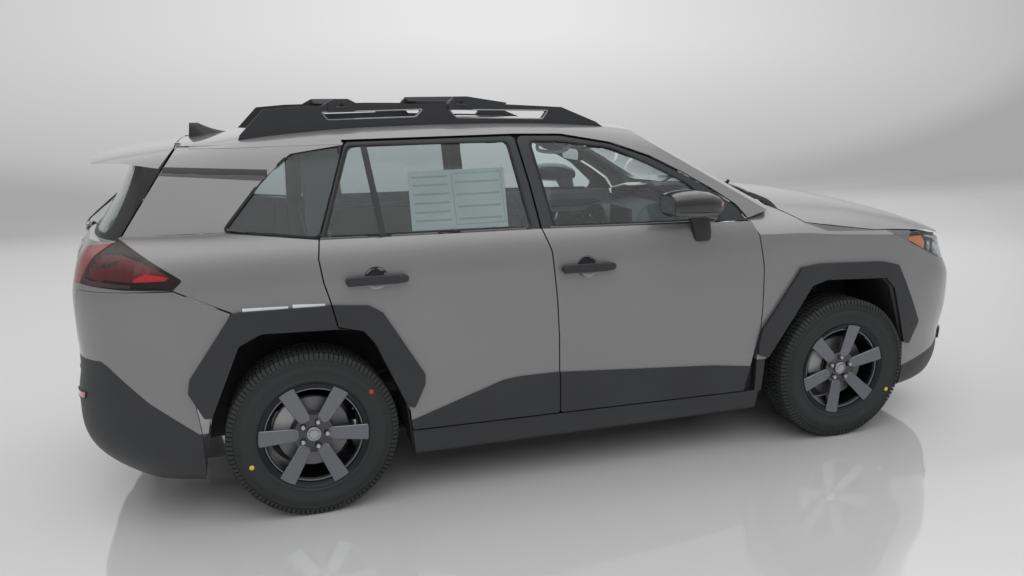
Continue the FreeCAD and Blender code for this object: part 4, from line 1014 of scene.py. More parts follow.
def front_seats():
    cushion = pad_shape([(-0.075, 0.385, 1, 0.05, 0.085, 0.92), (-0.055, 0.392, 1, 0.05, 0.105, 0.97),
        (0.05, 0.398, 1, 0.06, 0.12, 1.0), (0.2, 0.408, 1, 0.06, 0.122, 1.0), (0.33, 0.412, 1, 0.0, 0.118, 0.99),
        (0.405, 0.405, 1, -0.2, 0.1, 0.96), (0.432, 0.392, 1, -0.5, 0.07, 0.88)], 0.225, 0.018)
    back = pad_shape([(-0.05, 0.415, 0.2, -1, 0.08, 0.9), (-0.058, 0.45, 0.2, -1, 0.104, 0.96),
        (-0.085, 0.58, 0.2, -1, 0.112, 1.0), (-0.115, 0.74, 0.2, -1, 0.104, 1.0), (-0.146, 0.89, 0.22, -1, 0.094,
        0.96), (-0.172, 0.99, 0.25, -1, 0.08, 0.8), (-0.184, 1.026, 0.3, -1, 0.05, 0.62)], 0.222, 0.022)
    head = pad_shape([(-0.16, 1.09, 0.15, -1, 0.052, 0.86), (-0.16, 1.104, 0.15, -1, 0.072, 0.97),
        (-0.163, 1.16, 0.15, -1, 0.082, 1.0), (-0.167, 1.216, 0.2, -1, 0.074, 0.94), (-0.17, 1.238, 0.3, -1, 0.046,
        0.78)], 0.118, 0.0)
    cushion = swollen(cushion, 0.0085, 0.014)
    back = swollen(back, 0.0085, 0.014)
    head = swollen(head, 0.007, 0.01)
    channels = [((0, s * 0.15, 0), (0, 1, 0), lambda co: co.z > 0.4) for s in (-1, 1)]
    channels += [((x, 0, 0), (1, 0, 0), lambda co: abs(co.y) < 0.15 and co.z > 0.4) for x in (0.1, 0.25)]
    creased(cushion, channels, 0.007, 0.006)
    faces_front = [((0, s * 0.148, 0), (0, 1, 0), lambda co: co.x > -0.1 - (co.z - 0.5) * 0.22 + 0.02)
        for s in (-1, 1)]
    faces_front += [((0, 0, z), (0, 0, 1), lambda co: abs(co.y) < 0.148) for z in (0.6, 0.76, 0.9)]
    creased(back, faces_front, 0.006, 0.006)

    def wing(co):
        return abs(co.y) > 0.15

    for tag, y in (("right", -seat_y), ("left", seat_y)):
        spot, out = put(0, y, 0), 0.247 * copysign(1, y)
        two_tone("seat_cushion_" + tag, "body", cushion, seat_cloth, seat_hide, wing, spot)
        two_tone("seat_back_" + tag, "body", back, seat_cloth, seat_hide, wing, spot)
        two_tone("headrest_" + tag, "body", head, seat_hide, seat_hide, wing, spot)
        posts = [tube([(-0.168, y + d, 0.99), (-0.163, y + d, 1.12)], 0.0062, 14) for d in (-0.05, 0.05)]
        collars = [tube([(-0.1665, y + d, 1.018), (-0.1655, y + d, 1.034)], 0.0125, 18) for d in (-0.05, 0.05)]
        slides = [slab(flat(-30, 283, 390, 283, 390, 318, 360, 352, 0, 352, -30, 318), y + d - 0.014, y + d + 0.014,
            bevel=0.004) for d in (-0.205, 0.205)]
        shields = [slab(flat(-85, 345, 395, 362, 405, 398, 100, 402, -20, 455, -88, 430), y + d - 0.009, y + d + 0.009,
            bevel=0.007) for d in (-0.236, 0.236)]
        pan = slab(flat(-60, 330, 400, 350, 400, 362, -60, 346), y - 0.21, y + 0.21, bevel=0.004)
        lever = slab(flat(100, 378, 235, 384, 245, 396, 225, 404, 110, 398), y + out - 0.006, y + out + 0.006,
            bevel=0.004)
        buckle = slab(flat(-35, 400, 5, 400, 0, 505, -30, 505), y * (1 - 0.262 / seat_y) - 0.012,
            y * (1 - 0.262 / seat_y) + 0.012, bevel=0.005)
        piece("seat_frame_" + tag, "body", [(m, bolt_metal) for m in posts] + [(m, plastic) for m in collars]
            + [(m, underbody) for m in slides] + [(m, plastic) for m in shields] + [(pan, underbody), (lever, plastic),
            (buckle, plastic)], "cabin_plastic")
    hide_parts("front_seats")


def rear_seats():
    cushion = pad_shape([(-1.045, 0.43, 1, 0.03, 0.05, 0.96), (-1.0, 0.44, 1, 0.03, 0.07, 0.98),
        (-0.88, 0.445, 1, 0.03, 0.086, 1.0), (-0.7, 0.452, 1, 0.02, 0.086, 1.0), (-0.575, 0.452, 1, -0.1, 0.08, 0.99),
        (-0.53, 0.444, 1, -0.4, 0.052, 0.96)], 0.605, 0.006)
    back = pad_shape([(-1.07, 0.53, 0.2, -1, 0.05, 0.7), (-1.078, 0.57, 0.2, -1, 0.074, 0.72),
        (-1.092, 0.68, 0.2, -1, 0.088, 0.735), (-1.12, 0.82, 0.2, -1, 0.084, 0.74), (-1.15, 0.95, 0.25, -1, 0.076,
        0.985), (-1.172, 1.03, 0.3, -1, 0.058, 0.94), (-1.182, 1.052, 0.4, -1, 0.036, 0.9)], 0.6, 0.006)
    head = pad_shape([(-1.186, 1.108, 0.1, -1, 0.04, 0.9), (-1.188, 1.122, 0.1, -1, 0.054, 0.98),
        (-1.19, 1.16, 0.1, -1, 0.06, 1.0), (-1.194, 1.196, 0.15, -1, 0.052, 0.95), (-1.197, 1.21, 0.2, -1, 0.032,
        0.84)], 0.112, 0.0)
    cushion = swollen(cushion, 0.0105, 0.012)
    back = swollen(back, 0.0105, 0.01)
    head = swollen(head, 0.0072, 0.008)
    creased(cushion, [((0, y, 0), (0, 1, 0), lambda co: co.z > 0.44) for y in (-0.21, 0.21)]
        + [((-0.72, 0, 0), (1, 0, 0), lambda co: co.z > 0.44)], 0.007, 0.008)
    creased(back, [((0, y, 0), (0, 1, 0), lambda co: True) for y in (-0.21, 0.21)]
        + [((0, 0, z), (0, 0, 1), lambda co: True) for z in (0.74, 0.9)], 0.006, 0.008)

    def wing(co):
        return abs(co.y) > 0.5 or abs(co.y) < 0.06

    still = Matrix.Identity(4)
    two_tone("rear_cushion", "body", cushion, seat_cloth, seat_hide, wing, still)
    two_tone("rear_back", "body", back, seat_cloth, seat_hide, wing, still)
    parts = []
    for tag, y in (("right", -0.38), ("middle", 0.0), ("left", 0.38)):
        two_tone("rear_headrest_" + tag, "body", head, seat_hide, seat_hide, wing, put(0, y, 0))
        parts += [(tube([(-1.189, y + d, 1.03), (-1.188, y + d, 1.125)], 0.0055, 12), bolt_metal)
            for d in (-0.05, 0.05)]
    base = slab(flat(-1000, 284, -560, 284, -545, 400, -1000, 388), -0.455, 0.455, bevel=0.012)
    shell_back = slab(flat(-1110, 560, -1124, 562, -1236, 1010, -1222, 1030), -0.42, 0.42, bevel=0.004)
    parts += [(base, plastic), (shell_back, carpet)]
    piece("rear_seat_base", "body", parts, "cabin_plastic", ["rear_bench"])


# cabin
def steering_wheel():
    tilt = spin(-66, "Y")
    spot = put(0.47, seat_y, 0.96) @ tilt
    rings = []
    for a in around(72):
        grip = 0.015 + 0.0016 * max(0.0, cos(2 * a) ** 8)
        ring = []
        for b in around(16):
            r = 0.182 + grip * 0.86 * cos(b)
            ring.append((r * cos(a), r * sin(a), grip * sin(b)))
        rings.append(ring)
    rings.append(rings[0])
    rim = loft(rings, caps=False)
    hub = slab(flat(-45, -62, 40, -66, 62, -50, 66, 0, 62, 50, 40, 66, -45, 62, -60, 35, -62, 0, -60, -35), -0.02,
        0.022, axis="z", bevel=0.008, cuts=3)
    arms = []
    for a in (90, 270, 180):
        arm = slab(flat(50, -24, 110, -15, 176, -21, 176, 21, 110, 15, 50, 24), -0.007, 0.008, axis="z", bevel=0.004)
        arms.append((arm, plastic if a != 180 else cap_grey, spot @ spin(a, "Z")))
        if a != 180:
            keys = slab(flat(74, -15, 106, -10, 106, 10, 74, 15), 0.006, 0.0125, axis="z", bevel=0.002)
            arms.append((keys, gloss_black, spot @ spin(a, "Z")))
    stitch = tube([(0.1995, -0.0012, 0.0), (0.1995, 0.0012, 0.0)], 0.0007, 5)
    sewn = repeated(moved(stitch, put(-0.03, 0, 0)), thread, 96, turn=(0, 0, 3.75))
    pad = dome(0.019, 0.006, 28)
    piece("steering_wheel_rim", "steering_wheel", [(rim, seat_hide, spot), (hub, plastic, spot), (sewn, thread, spot),
        (pad, plastic, spot @ put(0, 0, 0.0215))] + arms, "cabin_plastic", ["steering_wheel"])


def air_vent(y, z, x, wide, high):
    frame_line = rect(y - wide, y + wide, z - high, z + high)
    outer = soft_slab(frame_line, 0.01, x - 0.006, x + 0.02, axis="x", bevel=0.003)
    well = soft_slab(rect(y - wide + 0.006, y + wide - 0.006, z - high + 0.006, z + high - 0.006), 0.006, x - 0.0068,
        x - 0.004, axis="x")
    blade = slab([(x - 0.012, z - high + 0.012), (x - 0.0115, z - high + 0.0135), (x - 0.003, z - high + 0.016),
        (x - 0.003, z - high + 0.0145)], y - wide + 0.008, y + wide - 0.008)
    count = max(3, int((2 * high - 0.02) / 0.011))
    blades = repeated(blade, plastic, count, shift=(0, 0, 0.011))
    tab = slab(rect(x - 0.018, x - 0.008, z - 0.005, z + 0.005), y - 0.009, y + 0.009, bevel=0.002)
    return [(outer, cap_grey), (well, wheel_dark), (blades, plastic), (tab, plastic)]


def dashboard_detail():
    parts = []
    for y in (-0.62, 0.62):
        parts += air_vent(y, 1.012, 0.545, 0.052, 0.03)
    for y in (-0.105, 0.105):
        parts += air_vent(y, 0.965, 0.56, 0.072, 0.024)
    hood_rings = []
    for x, grow in ((0.6, 0.92), (0.56, 1.0), (0.5, 1.0), (0.492, 0.97)):
        arch = [pi * k / 14 for k in range(15)]
        ring = [(x + 0.03 * sin(a), seat_y + 0.175 * grow * cos(a), 1.045 + 0.088 * grow * sin(a)) for a in arch]
        ring += [(x + 0.03 * sin(a), seat_y + 0.165 * grow * cos(a), 1.045 + 0.078 * grow * sin(a))
            for a in reversed(arch)]
        hood_rings.append(ring)
    parts.append((rounded(loft(hood_rings), 0.003), plastic))
    cluster = soft_slab(flat(225, 1030, 515, 1030, 500, 1098, 370, 1112, 240, 1098), 0.02, 0.53, 0.542, axis="x",
        bevel=0.002)
    parts.append((cluster, screen_glass))
    dial = lathe(flat(36, 0, 38, -1.5, 40, 0), 40)
    for y in (0.3, 0.44):
        parts.append((dial, cap_grey, put(0.5295, y, 1.066) @ Matrix.Rotation(pi / 2, 4, "Z")))
    tablet = soft_slab(flat(-135, 1010, 135, 1010, 135, 1165, -135, 1165), 0.014, 0.5, 0.518, axis="x", bevel=0.004)
    glass = soft_slab(flat(-128, 1018, 128, 1018, 128, 1158, -128, 1158), 0.01, 0.4985, 0.502, axis="x")
    neck = slab(flat(512, 1020, 600, 1020, 600, 1060, 514, 1100), -0.05, 0.05, bevel=0.004)
    parts += [(tablet, plastic), (glass, screen_glass), (neck, plastic)]
    knob = lathe(flat(0, -20, 16, -19.5, 18.5, -17, 19.5, 0), 36)
    ridge = slab(flat(18.8, -0.9, 20.2, -0.6, 20.2, 0.6, 18.8, 0.9), -0.016, -0.002)
    for y in (-0.095, 0.095):
        at = put(0.588, y, 0.905) @ spin(-90, "Z")
        parts += [(knob, plastic, at), (repeated(ridge, cap_grey, 30, turn=(0, 12, 0)), cap_grey, at)]
    button = soft_slab(flat(-54, 894, -38, 894, -38, 914, -54, 914), 0.002, 0.582, 0.6, axis="x", bevel=0.0015)
    parts.append((repeated(button, gloss_black, 6, shift=(0, 0.0185, 0)), gloss_black))
    trim = bead([Vector((0.548, y, 0.995 + 0.004 * cos(y * 4))) for y in (k * 0.05 - 0.68 for k in range(28))],
        [Vector((-1, 0, 0.1))] * 28, 0.01, 0.004)
    parts.append((trim, cap_grey))
    drawer = flat(-600, 815, -220, 815, -220, 935, -600, 945)
    seam = softened(drawer, 0.02)
    path = [Vector((0.64 - (z - 0.815) * 0.5, y, z)) for y, z in seam]
    parts.append((bead(path, [Vector((-0.87, 0, -0.5))] * len(path), 0.004, 0.0015, closed=True), wheel_dark))
    lever_path = sweep_line(trace(245, 0, 548, 235, 0, 620, 215, 0, 675), 8)
    gaiter = loft([[(0.245 + r * cos(a) * 1.25, r * sin(a), z) for a in around(28)] for z,
        r in ((0.556, 0.052), (0.566, 0.048), (0.572, 0.05), (0.582, 0.041), (0.588, 0.043), (0.6, 0.03),
        (0.606, 0.031), (0.622, 0.018))])
    shift_knob = lathe(flat(0, 46, 14, 44, 22, 34, 24, 18, 20, 0, 12, -10), 32)
    shift_knob.transform(put(0.212, 0, 0.69) @ spin(90, "X"))
    parts += [(tube(lever_path, 0.008, 12), cap_grey), (gaiter, seat_hide), (shift_knob, seat_hide)]
    plate = soft_slab(flat(30, -85, 360, -85, 360, 85, 30, 85), 0.02, 0.552, 0.562, axis="z", bevel=0.003)
    parts.append((plate, gloss_black, put(0, 0, -0.004)))
    for x in (0.085, 0.165):
        cup = upright(lathe(flat(36, 0, 41, -3, 43, 0, 41, 4), 40, closed=True))
        parts.append((cup, cap_grey, put(x, 0.036, 0.56)))
    for y in (0.365, 0.265):
        pedal = slab(flat(742, 430, 756, 436, 722, 560, 708, 554), y - 0.035, y + 0.035, bevel=0.003)
        stalk = tube([(0.738, y, 0.55), (0.8, y, 0.7), (0.82, y, 0.8)], 0.009, 10)
        parts += [(pedal, cladding), (stalk, underbody)]
    for s in (-1, 1):
        stalk = tube(sweep_line([(0.5, seat_y + s * 0.05, 0.965), (0.492, seat_y + s * 0.12, 0.985),
            (0.486, seat_y + s * 0.185, 1.0)], 7), [0.01, 0.009, 0.008, 0.0075, 0.007, 0.0085, 0.007], 12)
        parts.append((stalk, plastic))
    piece("dashboard_detail", "body", parts, "cabin_plastic")
    pad = pad_shape([(-0.165, 0.585, 1, 0.0, 0.05, 0.9), (-0.15, 0.588, 1, 0, 0.062, 0.97),
        (-0.04, 0.59, 1, 0, 0.066, 1.0), (0.01, 0.588, 1, 0, 0.052, 0.95)], 0.09, 0.0)
    two_tone("armrest_pad", "body", swollen(pad, 0.006, 0.005), seat_hide, seat_hide, lambda co: False,
        Matrix.Identity(4))


def upper_cabin():
    sky = surface_of("roof")
    field = flat(-1720, -460, -1300, -545, -600, -575, 50, -565, 250, -530, 270, 0, 250, 530, 50, 565, -600, 575,
        -1300, 545, -1720, 460)
    lining = draped(sky, "under", field, 0.003, 0.008, 0.075, start=-1.25)
    bulb_box = soft_slab(flat(120, -90, 240, -70, 240, 70, 120, 90), 0.02, 1.588, 1.612, axis="z", bevel=0.006)
    lamp_glass = soft_slab(flat(145, -55, 205, -45, 205, 45, 145, 55), 0.012, 1.584, 1.59, axis="z", bevel=0.002)
    parts = [(lining, headlining), (bulb_box, headlining), (lamp_glass, lamp_clear)]
    for s in (-1, 1):
        visor = soft_slab([(0.1, s * 0.12), (0.255, s * 0.13), (0.245, s * 0.5), (0.085, s * 0.52)], 0.03, 1.568,
            1.582, axis="z", bevel=0.005, cuts=3)
        parts.append((visor, headlining))
        grab = tube(sweep_line([(-0.02, s * 0.585, 1.56), (-0.03, s * 0.56, 1.528), (-0.1, s * 0.556, 1.52),
            (-0.17, s * 0.56, 1.532), (-0.18, s * 0.585, 1.566)], 14), 0.009, 10)
        parts.append((grab, headlining))
    piece("headlining", "body", parts, "cabin_plastic")
    shape = softened(flat(-125, 1435, 125, 1435, 132, 1480, 110, 1502, -110, 1502, -132, 1480), 0.02)
    head = slab(shape, 0.205, 0.232, axis="x", bevel=0.006, cuts=3)
    glass = slab([(y * 0.93, 1.4685 + (z - 1.4685) * 0.86) for y, z in shape], 0.2035, 0.206, axis="x")
    stem = tube(sweep_line(trace(232, 0, 1485, 300, 0, 1500, 372, 0, 1512), 7), [0.014, 0.01, 0.009, 0.009, 0.01,
        0.016, 0.022], 14)
    piece("inner_mirror", "body", [(head, plastic), (glass, mirror_glass), (stem, plastic)])
    cover = slab(flat(-1265, 1000, -1275, 1022, -1300, 1030, -2020, 1012, -2030, 998, -1300, 1004), -0.555, 0.555,
        bevel=0.003)
    roller = lathe(flat(0, -580, 20, -579, 24, -570, 24, 570, 20, 579, 0, 580), 24)
    bar = tube([(-2.035, -0.56, 1.004), (-2.035, 0.56, 1.004)], 0.009, 14)
    piece("load_cover", "body", [(cover, carpet), (roller, plastic, put(-1.268, 0, 1.002)), (bar, plastic)])


def belts():
    for tag, s in (("right", -1), ("left", 1)):
        path = sweep_line([(-0.3, s * 0.69, 1.32), (-0.262, s * 0.7, 1.1), (-0.225, s * 0.712, 0.85),
            (-0.19, s * 0.722, 0.6), (-0.15, s * 0.728, 0.43)], 24)
        ups = [Vector((0, -s, 0.25))] * 24
        web = bead(path, ups, 0.047, 0.0022, sink=0.0004)
        ring = soft_slab(flat(-335, 1300, -262, 1296, -268, 1350, -325, 1352), 0.014, s * 0.7 - 0.007, s * 0.7 + 0.007,
            bevel=0.004)
        tongue = soft_slab(flat(-232, 865, -184, 865, -190, 915, -230, 915), 0.008, s * 0.704 - 0.006,
            s * 0.704 + 0.006, bevel=0.003)
        piece("seat_belt_" + tag, "body", [(web, webbing), (ring, plastic), (tongue, cap_grey)])


def door_cards():
    for end, lines, grip in (("front", flat(-165, 420, 620, 400, 755, 620, 765, 950, 715, 1115, -175, 1138, -150, 750),
            0.3), ("rear", flat(-935, 500, -245, 420, -255, 750, -290, 1138, -1130, 1146, -1140, 1020, -1075, 860),
            -0.62)):
        inner = surface_of(end + "_door_right")
        outline = softened(lines, 0.05)
        card = draped(inner, "left", outline, 0.001, 0.01, 0.06, start=0.0)
        y = cast(inner, "left", grip, 0.86, 0.0)[0].y
        rest = soft_slab([(grip - 0.24, 0.835), (grip + 0.2, 0.85), (grip + 0.24, 0.9), (grip - 0.24, 0.885)], 0.02,
            y + 0.004, y + 0.058, bevel=0.01, cuts=3)
        pull = tube(sweep_line([(grip + 0.06, y + 0.012, 0.905), (grip + 0.075, y + 0.048, 0.955),
            (grip + 0.1, y + 0.05, 1.01), (grip + 0.125, y + 0.012, 1.05)], 14), 0.011, 12)
        latch = soft_slab([(grip + 0.2, 1.01), (grip + 0.3, 1.014), (grip + 0.305, 1.05), (grip + 0.2, 1.048)], 0.012,
            y + 0.006, y + 0.02, bevel=0.004)
        keys = soft_slab([(grip + 0.02, 0.888), (grip + 0.16, 0.898), (grip + 0.16, 0.9055), (grip + 0.02, 0.896)],
            0.003, y + 0.018, y + 0.046, bevel=0.002)
        pocket = soft_slab([(grip - 0.26, 0.5), (grip + 0.16, 0.5), (grip + 0.18, 0.61), (grip - 0.26, 0.62)], 0.03,
            y + 0.006, y + 0.036, bevel=0.008)
        mesh_ring = lathe(flat(66, 0, 72, -4, 78, 0), 44)
        speaker = lathe(flat(0, -3, 40, -3.6, 68, 0), 40)
        horn_x, horn_z = (0.5, 0.56) if end == "front" else (-0.86, 0.66)
        front = cast(inner, "left", horn_x, horn_z, 0.0)[0]
        at = put(horn_x, front.y + 0.012, horn_z) @ Matrix.Rotation(pi, 4, "Z")
        holes = lathe(flat(0, -4.2, 1.8, -4, 2.2, -3), 6)
        dots = []
        for r, many in ((0.014, 9), (0.026, 16), (0.038, 24), (0.05, 31), (0.06, 38)):
            one = moved(holes, put(r, -0.0006 + 0.0022 * (r / 0.06) ** 2, 0))
            dots.append((repeated(one, wheel_dark, many, turn=(0, 360 / many, 0)), wheel_dark, at))
        parts = [(card, door_fabric), (rest, seat_hide), (pull, cap_grey), (latch, cap_grey), (keys, gloss_black),
            (pocket, plastic), (mesh_ring, plastic, at), (speaker, plastic, at)] + dots
        sides(end + "_door_card", end + "_door", parts, "cabin_plastic")


# lamps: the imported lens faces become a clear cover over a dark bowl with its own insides
def lens_split(name, middle):
    """The outer faces of a packed lamp, and its other faces turned to a bowl."""
    bm = bmesh.new()
    bm.from_mesh(nodes[name].data)
    bmesh.ops.remove_doubles(bm, verts=bm.verts, dist=weld)
    out = []
    for work, keep_outer in ((bm.copy(), True), (bm, False)):
        drop = []
        for face in work.faces:
            centre, normal = face.calc_center_median(), face.normal
            side = 1 if centre.y > 0 else -1
            out_way = Vector((centre.x - middle[0], abs(centre.y) - middle[1], centre.z - middle[2])).normalized()
            facing = Vector((normal.x, normal.y * side, normal.z)).dot(Vector((out_way.x, out_way.y, 0)).normalized())
            if (abs(normal.y) > 0.02 and facing > 0.12) != keep_outer:
                drop.append(face)
        bmesh.ops.delete(work, geom=drop, context="FACES")
        out.append(smooth_mesh(work, bpy.data.meshes.new(name + "_part")))
    return out


def thick(mesh, amount):
    bm = bmesh.new()
    bm.from_mesh(mesh)
    bmesh.ops.solidify(bm, geom=bm.faces[:], thickness=amount)
    return smooth_mesh(bm, bpy.data.meshes.new("thick"))


def front_lamps():
    cover, bowl = lens_split("headlamps", (1.8, 0.6, 0.95))
    skin = surface_of("headlamps")
    parts = []
    for side in ("right", "left"):
        # orange marker, two projectors, a light bar and a dark finned bed, all behind the cover
        marker = draped(skin, side, flat(1715, 1030, 1800, 1032, 1862, 1028, 1895, 992, 1885, 956, 1800, 996), -0.016,
            0.006, 0.02)
        bed = draped(skin, side, flat(1690, 1052, 1900, 1036, 2030, 990, 2120, 950, 2140, 900, 2000, 915, 1860, 968),
            -0.04, 0.004, 0.03)
        parts += [(marker, orange_lens), (bed, wheel_dark)]
        bar = strip_on(skin, side, flat(1900, 1024, 1985, 1006, 2060, 978, 2110, 948), 0.012, 0.007, 0.02, lift=-0.014)
        parts.append((bar, lamp_clear))
        for x, z, r in ((1.965, 0.962, 0.027), (2.045, 0.938, 0.027), (2.1, 0.918, 0.021)):
            spot, normal = cast(skin, side, x, z)
            way = (normal + Vector((0.9, 0, 0))).normalized()
            at = spot_frame(spot - normal * 0.034, way)
            eye = dome(r, r * 0.62, 28)
            collar = upright(lathe([(r * 1.02, 0.0), (r * 1.22, -0.006), (r * 1.3, 0.0), (r * 1.16, 0.01)], 32, True))
            parts += [(eye, lamp_clear, at), (collar, cap_grey, at)]
    piece("headlamp_insides", "body", parts, "lamp_clear")
    piece("headlamp_bowls", "body", [(bowl, gloss_black)], "gloss_black")
    piece("headlamp_covers", "body", [(thick(cover, 0.0025), lens_clear)], "lamp_clear", ["headlamps"])


def rear_lamps():
    cover, bowl = lens_split("tail_lamps", (-1.75, 0.55, 1.15))
    skin = surface_of("tail_lamps")
    parts = []
    for side in ("right", "left"):
        red = draped(skin, side, flat(-2200, 1196, -2020, 1196, -1905, 1146, -1842, 1104, -1860, 1090, -2000, 1090,
            -2200, 1112), -0.012, 0.006, 0.016)
        bright = draped(skin, side, flat(-1985, 1100, -1940, 1122, -1880, 1112, -1852, 1102, -1866, 1092, -1985, 1091),
            -0.0055, 0.004, 0.012)
        pale = draped(skin, side, flat(-2200, 1098, -2000, 1079, -2000, 1066, -2200, 1076), -0.008, 0.005, 0.02)
        smoke = draped(skin, side, flat(-2200, 1238, -2035, 1240, -1960, 1186, -2020, 1204, -2200, 1206), -0.01, 0.004,
            0.02)
        parts += [(red, lamp_red), (bright, red_bright), (pale, lamp_clear), (smoke, wheel_dark)]
        for k in range(7):
            x = -2.13 + 0.035 * k
            parts.append((strip_on(skin, side, [(x, 1.118), (x + 0.012, 1.178 - 0.004 * k)], 0.0035, 0.003, 0.02,
                lift=-0.006), lamp_red))
    piece("tail_lamp_insides", "body", parts, "lamp_red")
    piece("tail_lamp_bowls", "body", [(bowl, gloss_black)], "gloss_black")
    piece("tail_lamp_covers", "body", [(thick(cover, 0.002), lens_smoke)], "lamp_red", ["tail_lamps"])


def glass_edges():
    """Rubber round every side pane and along the belt line."""
    for end, outline in (("front", flat(-258, 1584, -190, 1203, 640, 1181, 655, 1228, 499, 1362, 323, 1452, 133, 1538,
            -116, 1578)), ("rear", flat(-1086, 1590, -1217, 1217, -310, 1204, -372, 1585))):
        (x0, z0), (x1, z1) = outline[1:3]
        skin = surface_of(end + "_door_trim_right")
        line = softened(outline, 0.022)
        grown = [tuple(Vector(p) + (Vector(p) - Vector((sum(q[0] for q in outline) / len(outline), 1.39))).normalized()
            * 0.006) for p in line]
        seal = strip_on(skin, "right", grown, 0.01, 0.0025, 0.035, closed=True)
        moulding = strip_on(skin, "right", [(x0 - 0.03, z0 - 0.01), (x1 + 0.03, z1 - 0.01)], 0.015, 0.0045, 0.05)
        wiper = strip_on(surface_of(end + "_door_glass_right"), "right", [(x0 + 0.02, z0 + 0.006),
            (x1 - 0.02, z1 + 0.006)], 0.008, 0.004, 0.05)
        sides(end + "_glass_seal", end + "_door", [(seal, rubber), (moulding, gloss_black), (wiper, rubber)],
            "black_cladding")
    pane = surface_of("quarter_glass", "rear_pillars", "rear_door_trim_right")
    line = softened(flat(-1118, 1594, -1332, 1567, -1464, 1455, -1628, 1266, -1246, 1219), 0.03)
    seal = strip_on(pane, "right", line[:-5] + line[-4:], 0.012, 0.003, 0.035)
    sides("quarter_seal", "body", [(seal, rubber)], "black_cladding")


def wiper_blade(glass, side, places, width):
    """Rubber and holder along places on the glass; gives them with the holder's middle and its normal."""
    run = [cast(glass, side, y, z) for y, z in places]
    ups = [up for _, up in run]
    rubber_width, holder_width, lift, height = width
    edge = bead([p + up * 0.003 for p, up in run], ups, rubber_width, lift - 0.002)
    holder = bead([p + up * lift for p, up in run], ups, holder_width, height)
    return [(edge, rubber), (holder, gloss_black)], run[6]


def screen_wipers():
    glass = surface_of("windscreen")
    parts = []
    for base_y, tip_y, end_y in ((0.62, 0.5, -0.14), (-0.02, -0.1, -0.6)):
        places = [(tip_y + (end_y - tip_y) * (k / 14), 1.262 + 0.02 * sin(k / 14 * pi)) for k in range(15)]
        blade, (middle, up) = wiper_blade(glass, "front", places, (0.0045, 0.012, 0.011, 0.0065))
        pivot = Vector((1.085, base_y, 1.222))
        arm = sweep_line([pivot, pivot + Vector((-0.02, (middle.y - base_y) * 0.35, 0.042)), middle + up * 0.03,
            middle + up * 0.02], 12)
        parts += blade + [(bead(arm, [Vector((0.6, 0, 1))] * 12, 0.017, 0.008), gloss_black),
            (dome(0.015, 0.016, 20), plastic, Matrix.Translation(pivot + Vector((0, 0, -0.004))))]
    piece("screen_wipers", "body", parts, "gloss_black")


def cowl():
    """The slotted black panel between the bonnet's rear edge and the windscreen."""
    glass = surface_of("windscreen", "roof")
    rings = []
    for k in range(31):
        y = -0.7 + 1.4 * k / 30
        spot, _ = cast(glass, "front", y, 1.236)
        rear = min(spot.x - 0.004, 1.094 - 0.25 * max(0, abs(y) - 0.45) ** 1.2)
        front = 1.15 - 0.16 * (abs(y) / 0.7) ** 2.2
        low = 1.205 - 0.028 * (abs(y) / 0.7) ** 2
        rings.append([(rear - 0.006, y, 1.234 - 0.04 * (abs(y) / 0.7) ** 2), (rear + 0.01, y,
            1.231 - 0.04 * (abs(y) / 0.7) ** 2), (0.5 * (rear + front), y, low + 0.01), (front, y, low),
            (front, y, low - 0.012), (rear - 0.006, y, low - 0.006)])
    bed = loft(rings)
    slot = slab(flat(1050, -1.6, 1094, -1.6, 1094, 1.6, 1050, 1.6), 1.2085, 1.2165, axis="z")
    slots = [(repeated(moved(slot, put(0, y0, 0)), wheel_dark, 26, shift=(0, 0.011, 0)), wheel_dark)
        for y0 in (-0.52, 0.1)]
    piece("cowl_panel", "body", [(bed, cladding)] + slots, "black_cladding")


def rear_wiper():
    glass = surface_of("liftgate_glass", "liftgate_trim", "liftgate")
    pivot, normal = cast(glass, "back", 0.0, 1.212)
    at = spot_frame(pivot, normal)
    housing = loft([[(r * cos(a) * 1.5, r * sin(a), z) for a in around(28)] for z, r in ((-0.004, 0.03), (0.01, 0.03),
        (0.022, 0.026), (0.028, 0.018))])
    cap = dome(0.013, 0.01, 22)
    parts = [(housing, gloss_black, at), (cap, cap_grey, at @ put(0, 0, 0.027))]
    places = [(0.12 + 0.34 * (k / 12), 1.318 + 0.026 * (k / 12)) for k in range(13)]
    blade, (middle, up) = wiper_blade(glass, "back", places, (0.004, 0.011, 0.01, 0.006))
    parts += blade
    arm = sweep_line([pivot + normal * 0.02, pivot + normal * 0.03 + Vector((0, 0.08, 0.012)), middle + up * 0.024,
        middle + up * 0.017], 10)
    parts.append((bead(arm, [normal] * 10, 0.016, 0.009), gloss_black))
    piece("rear_wiper", "liftgate", parts, "gloss_black")


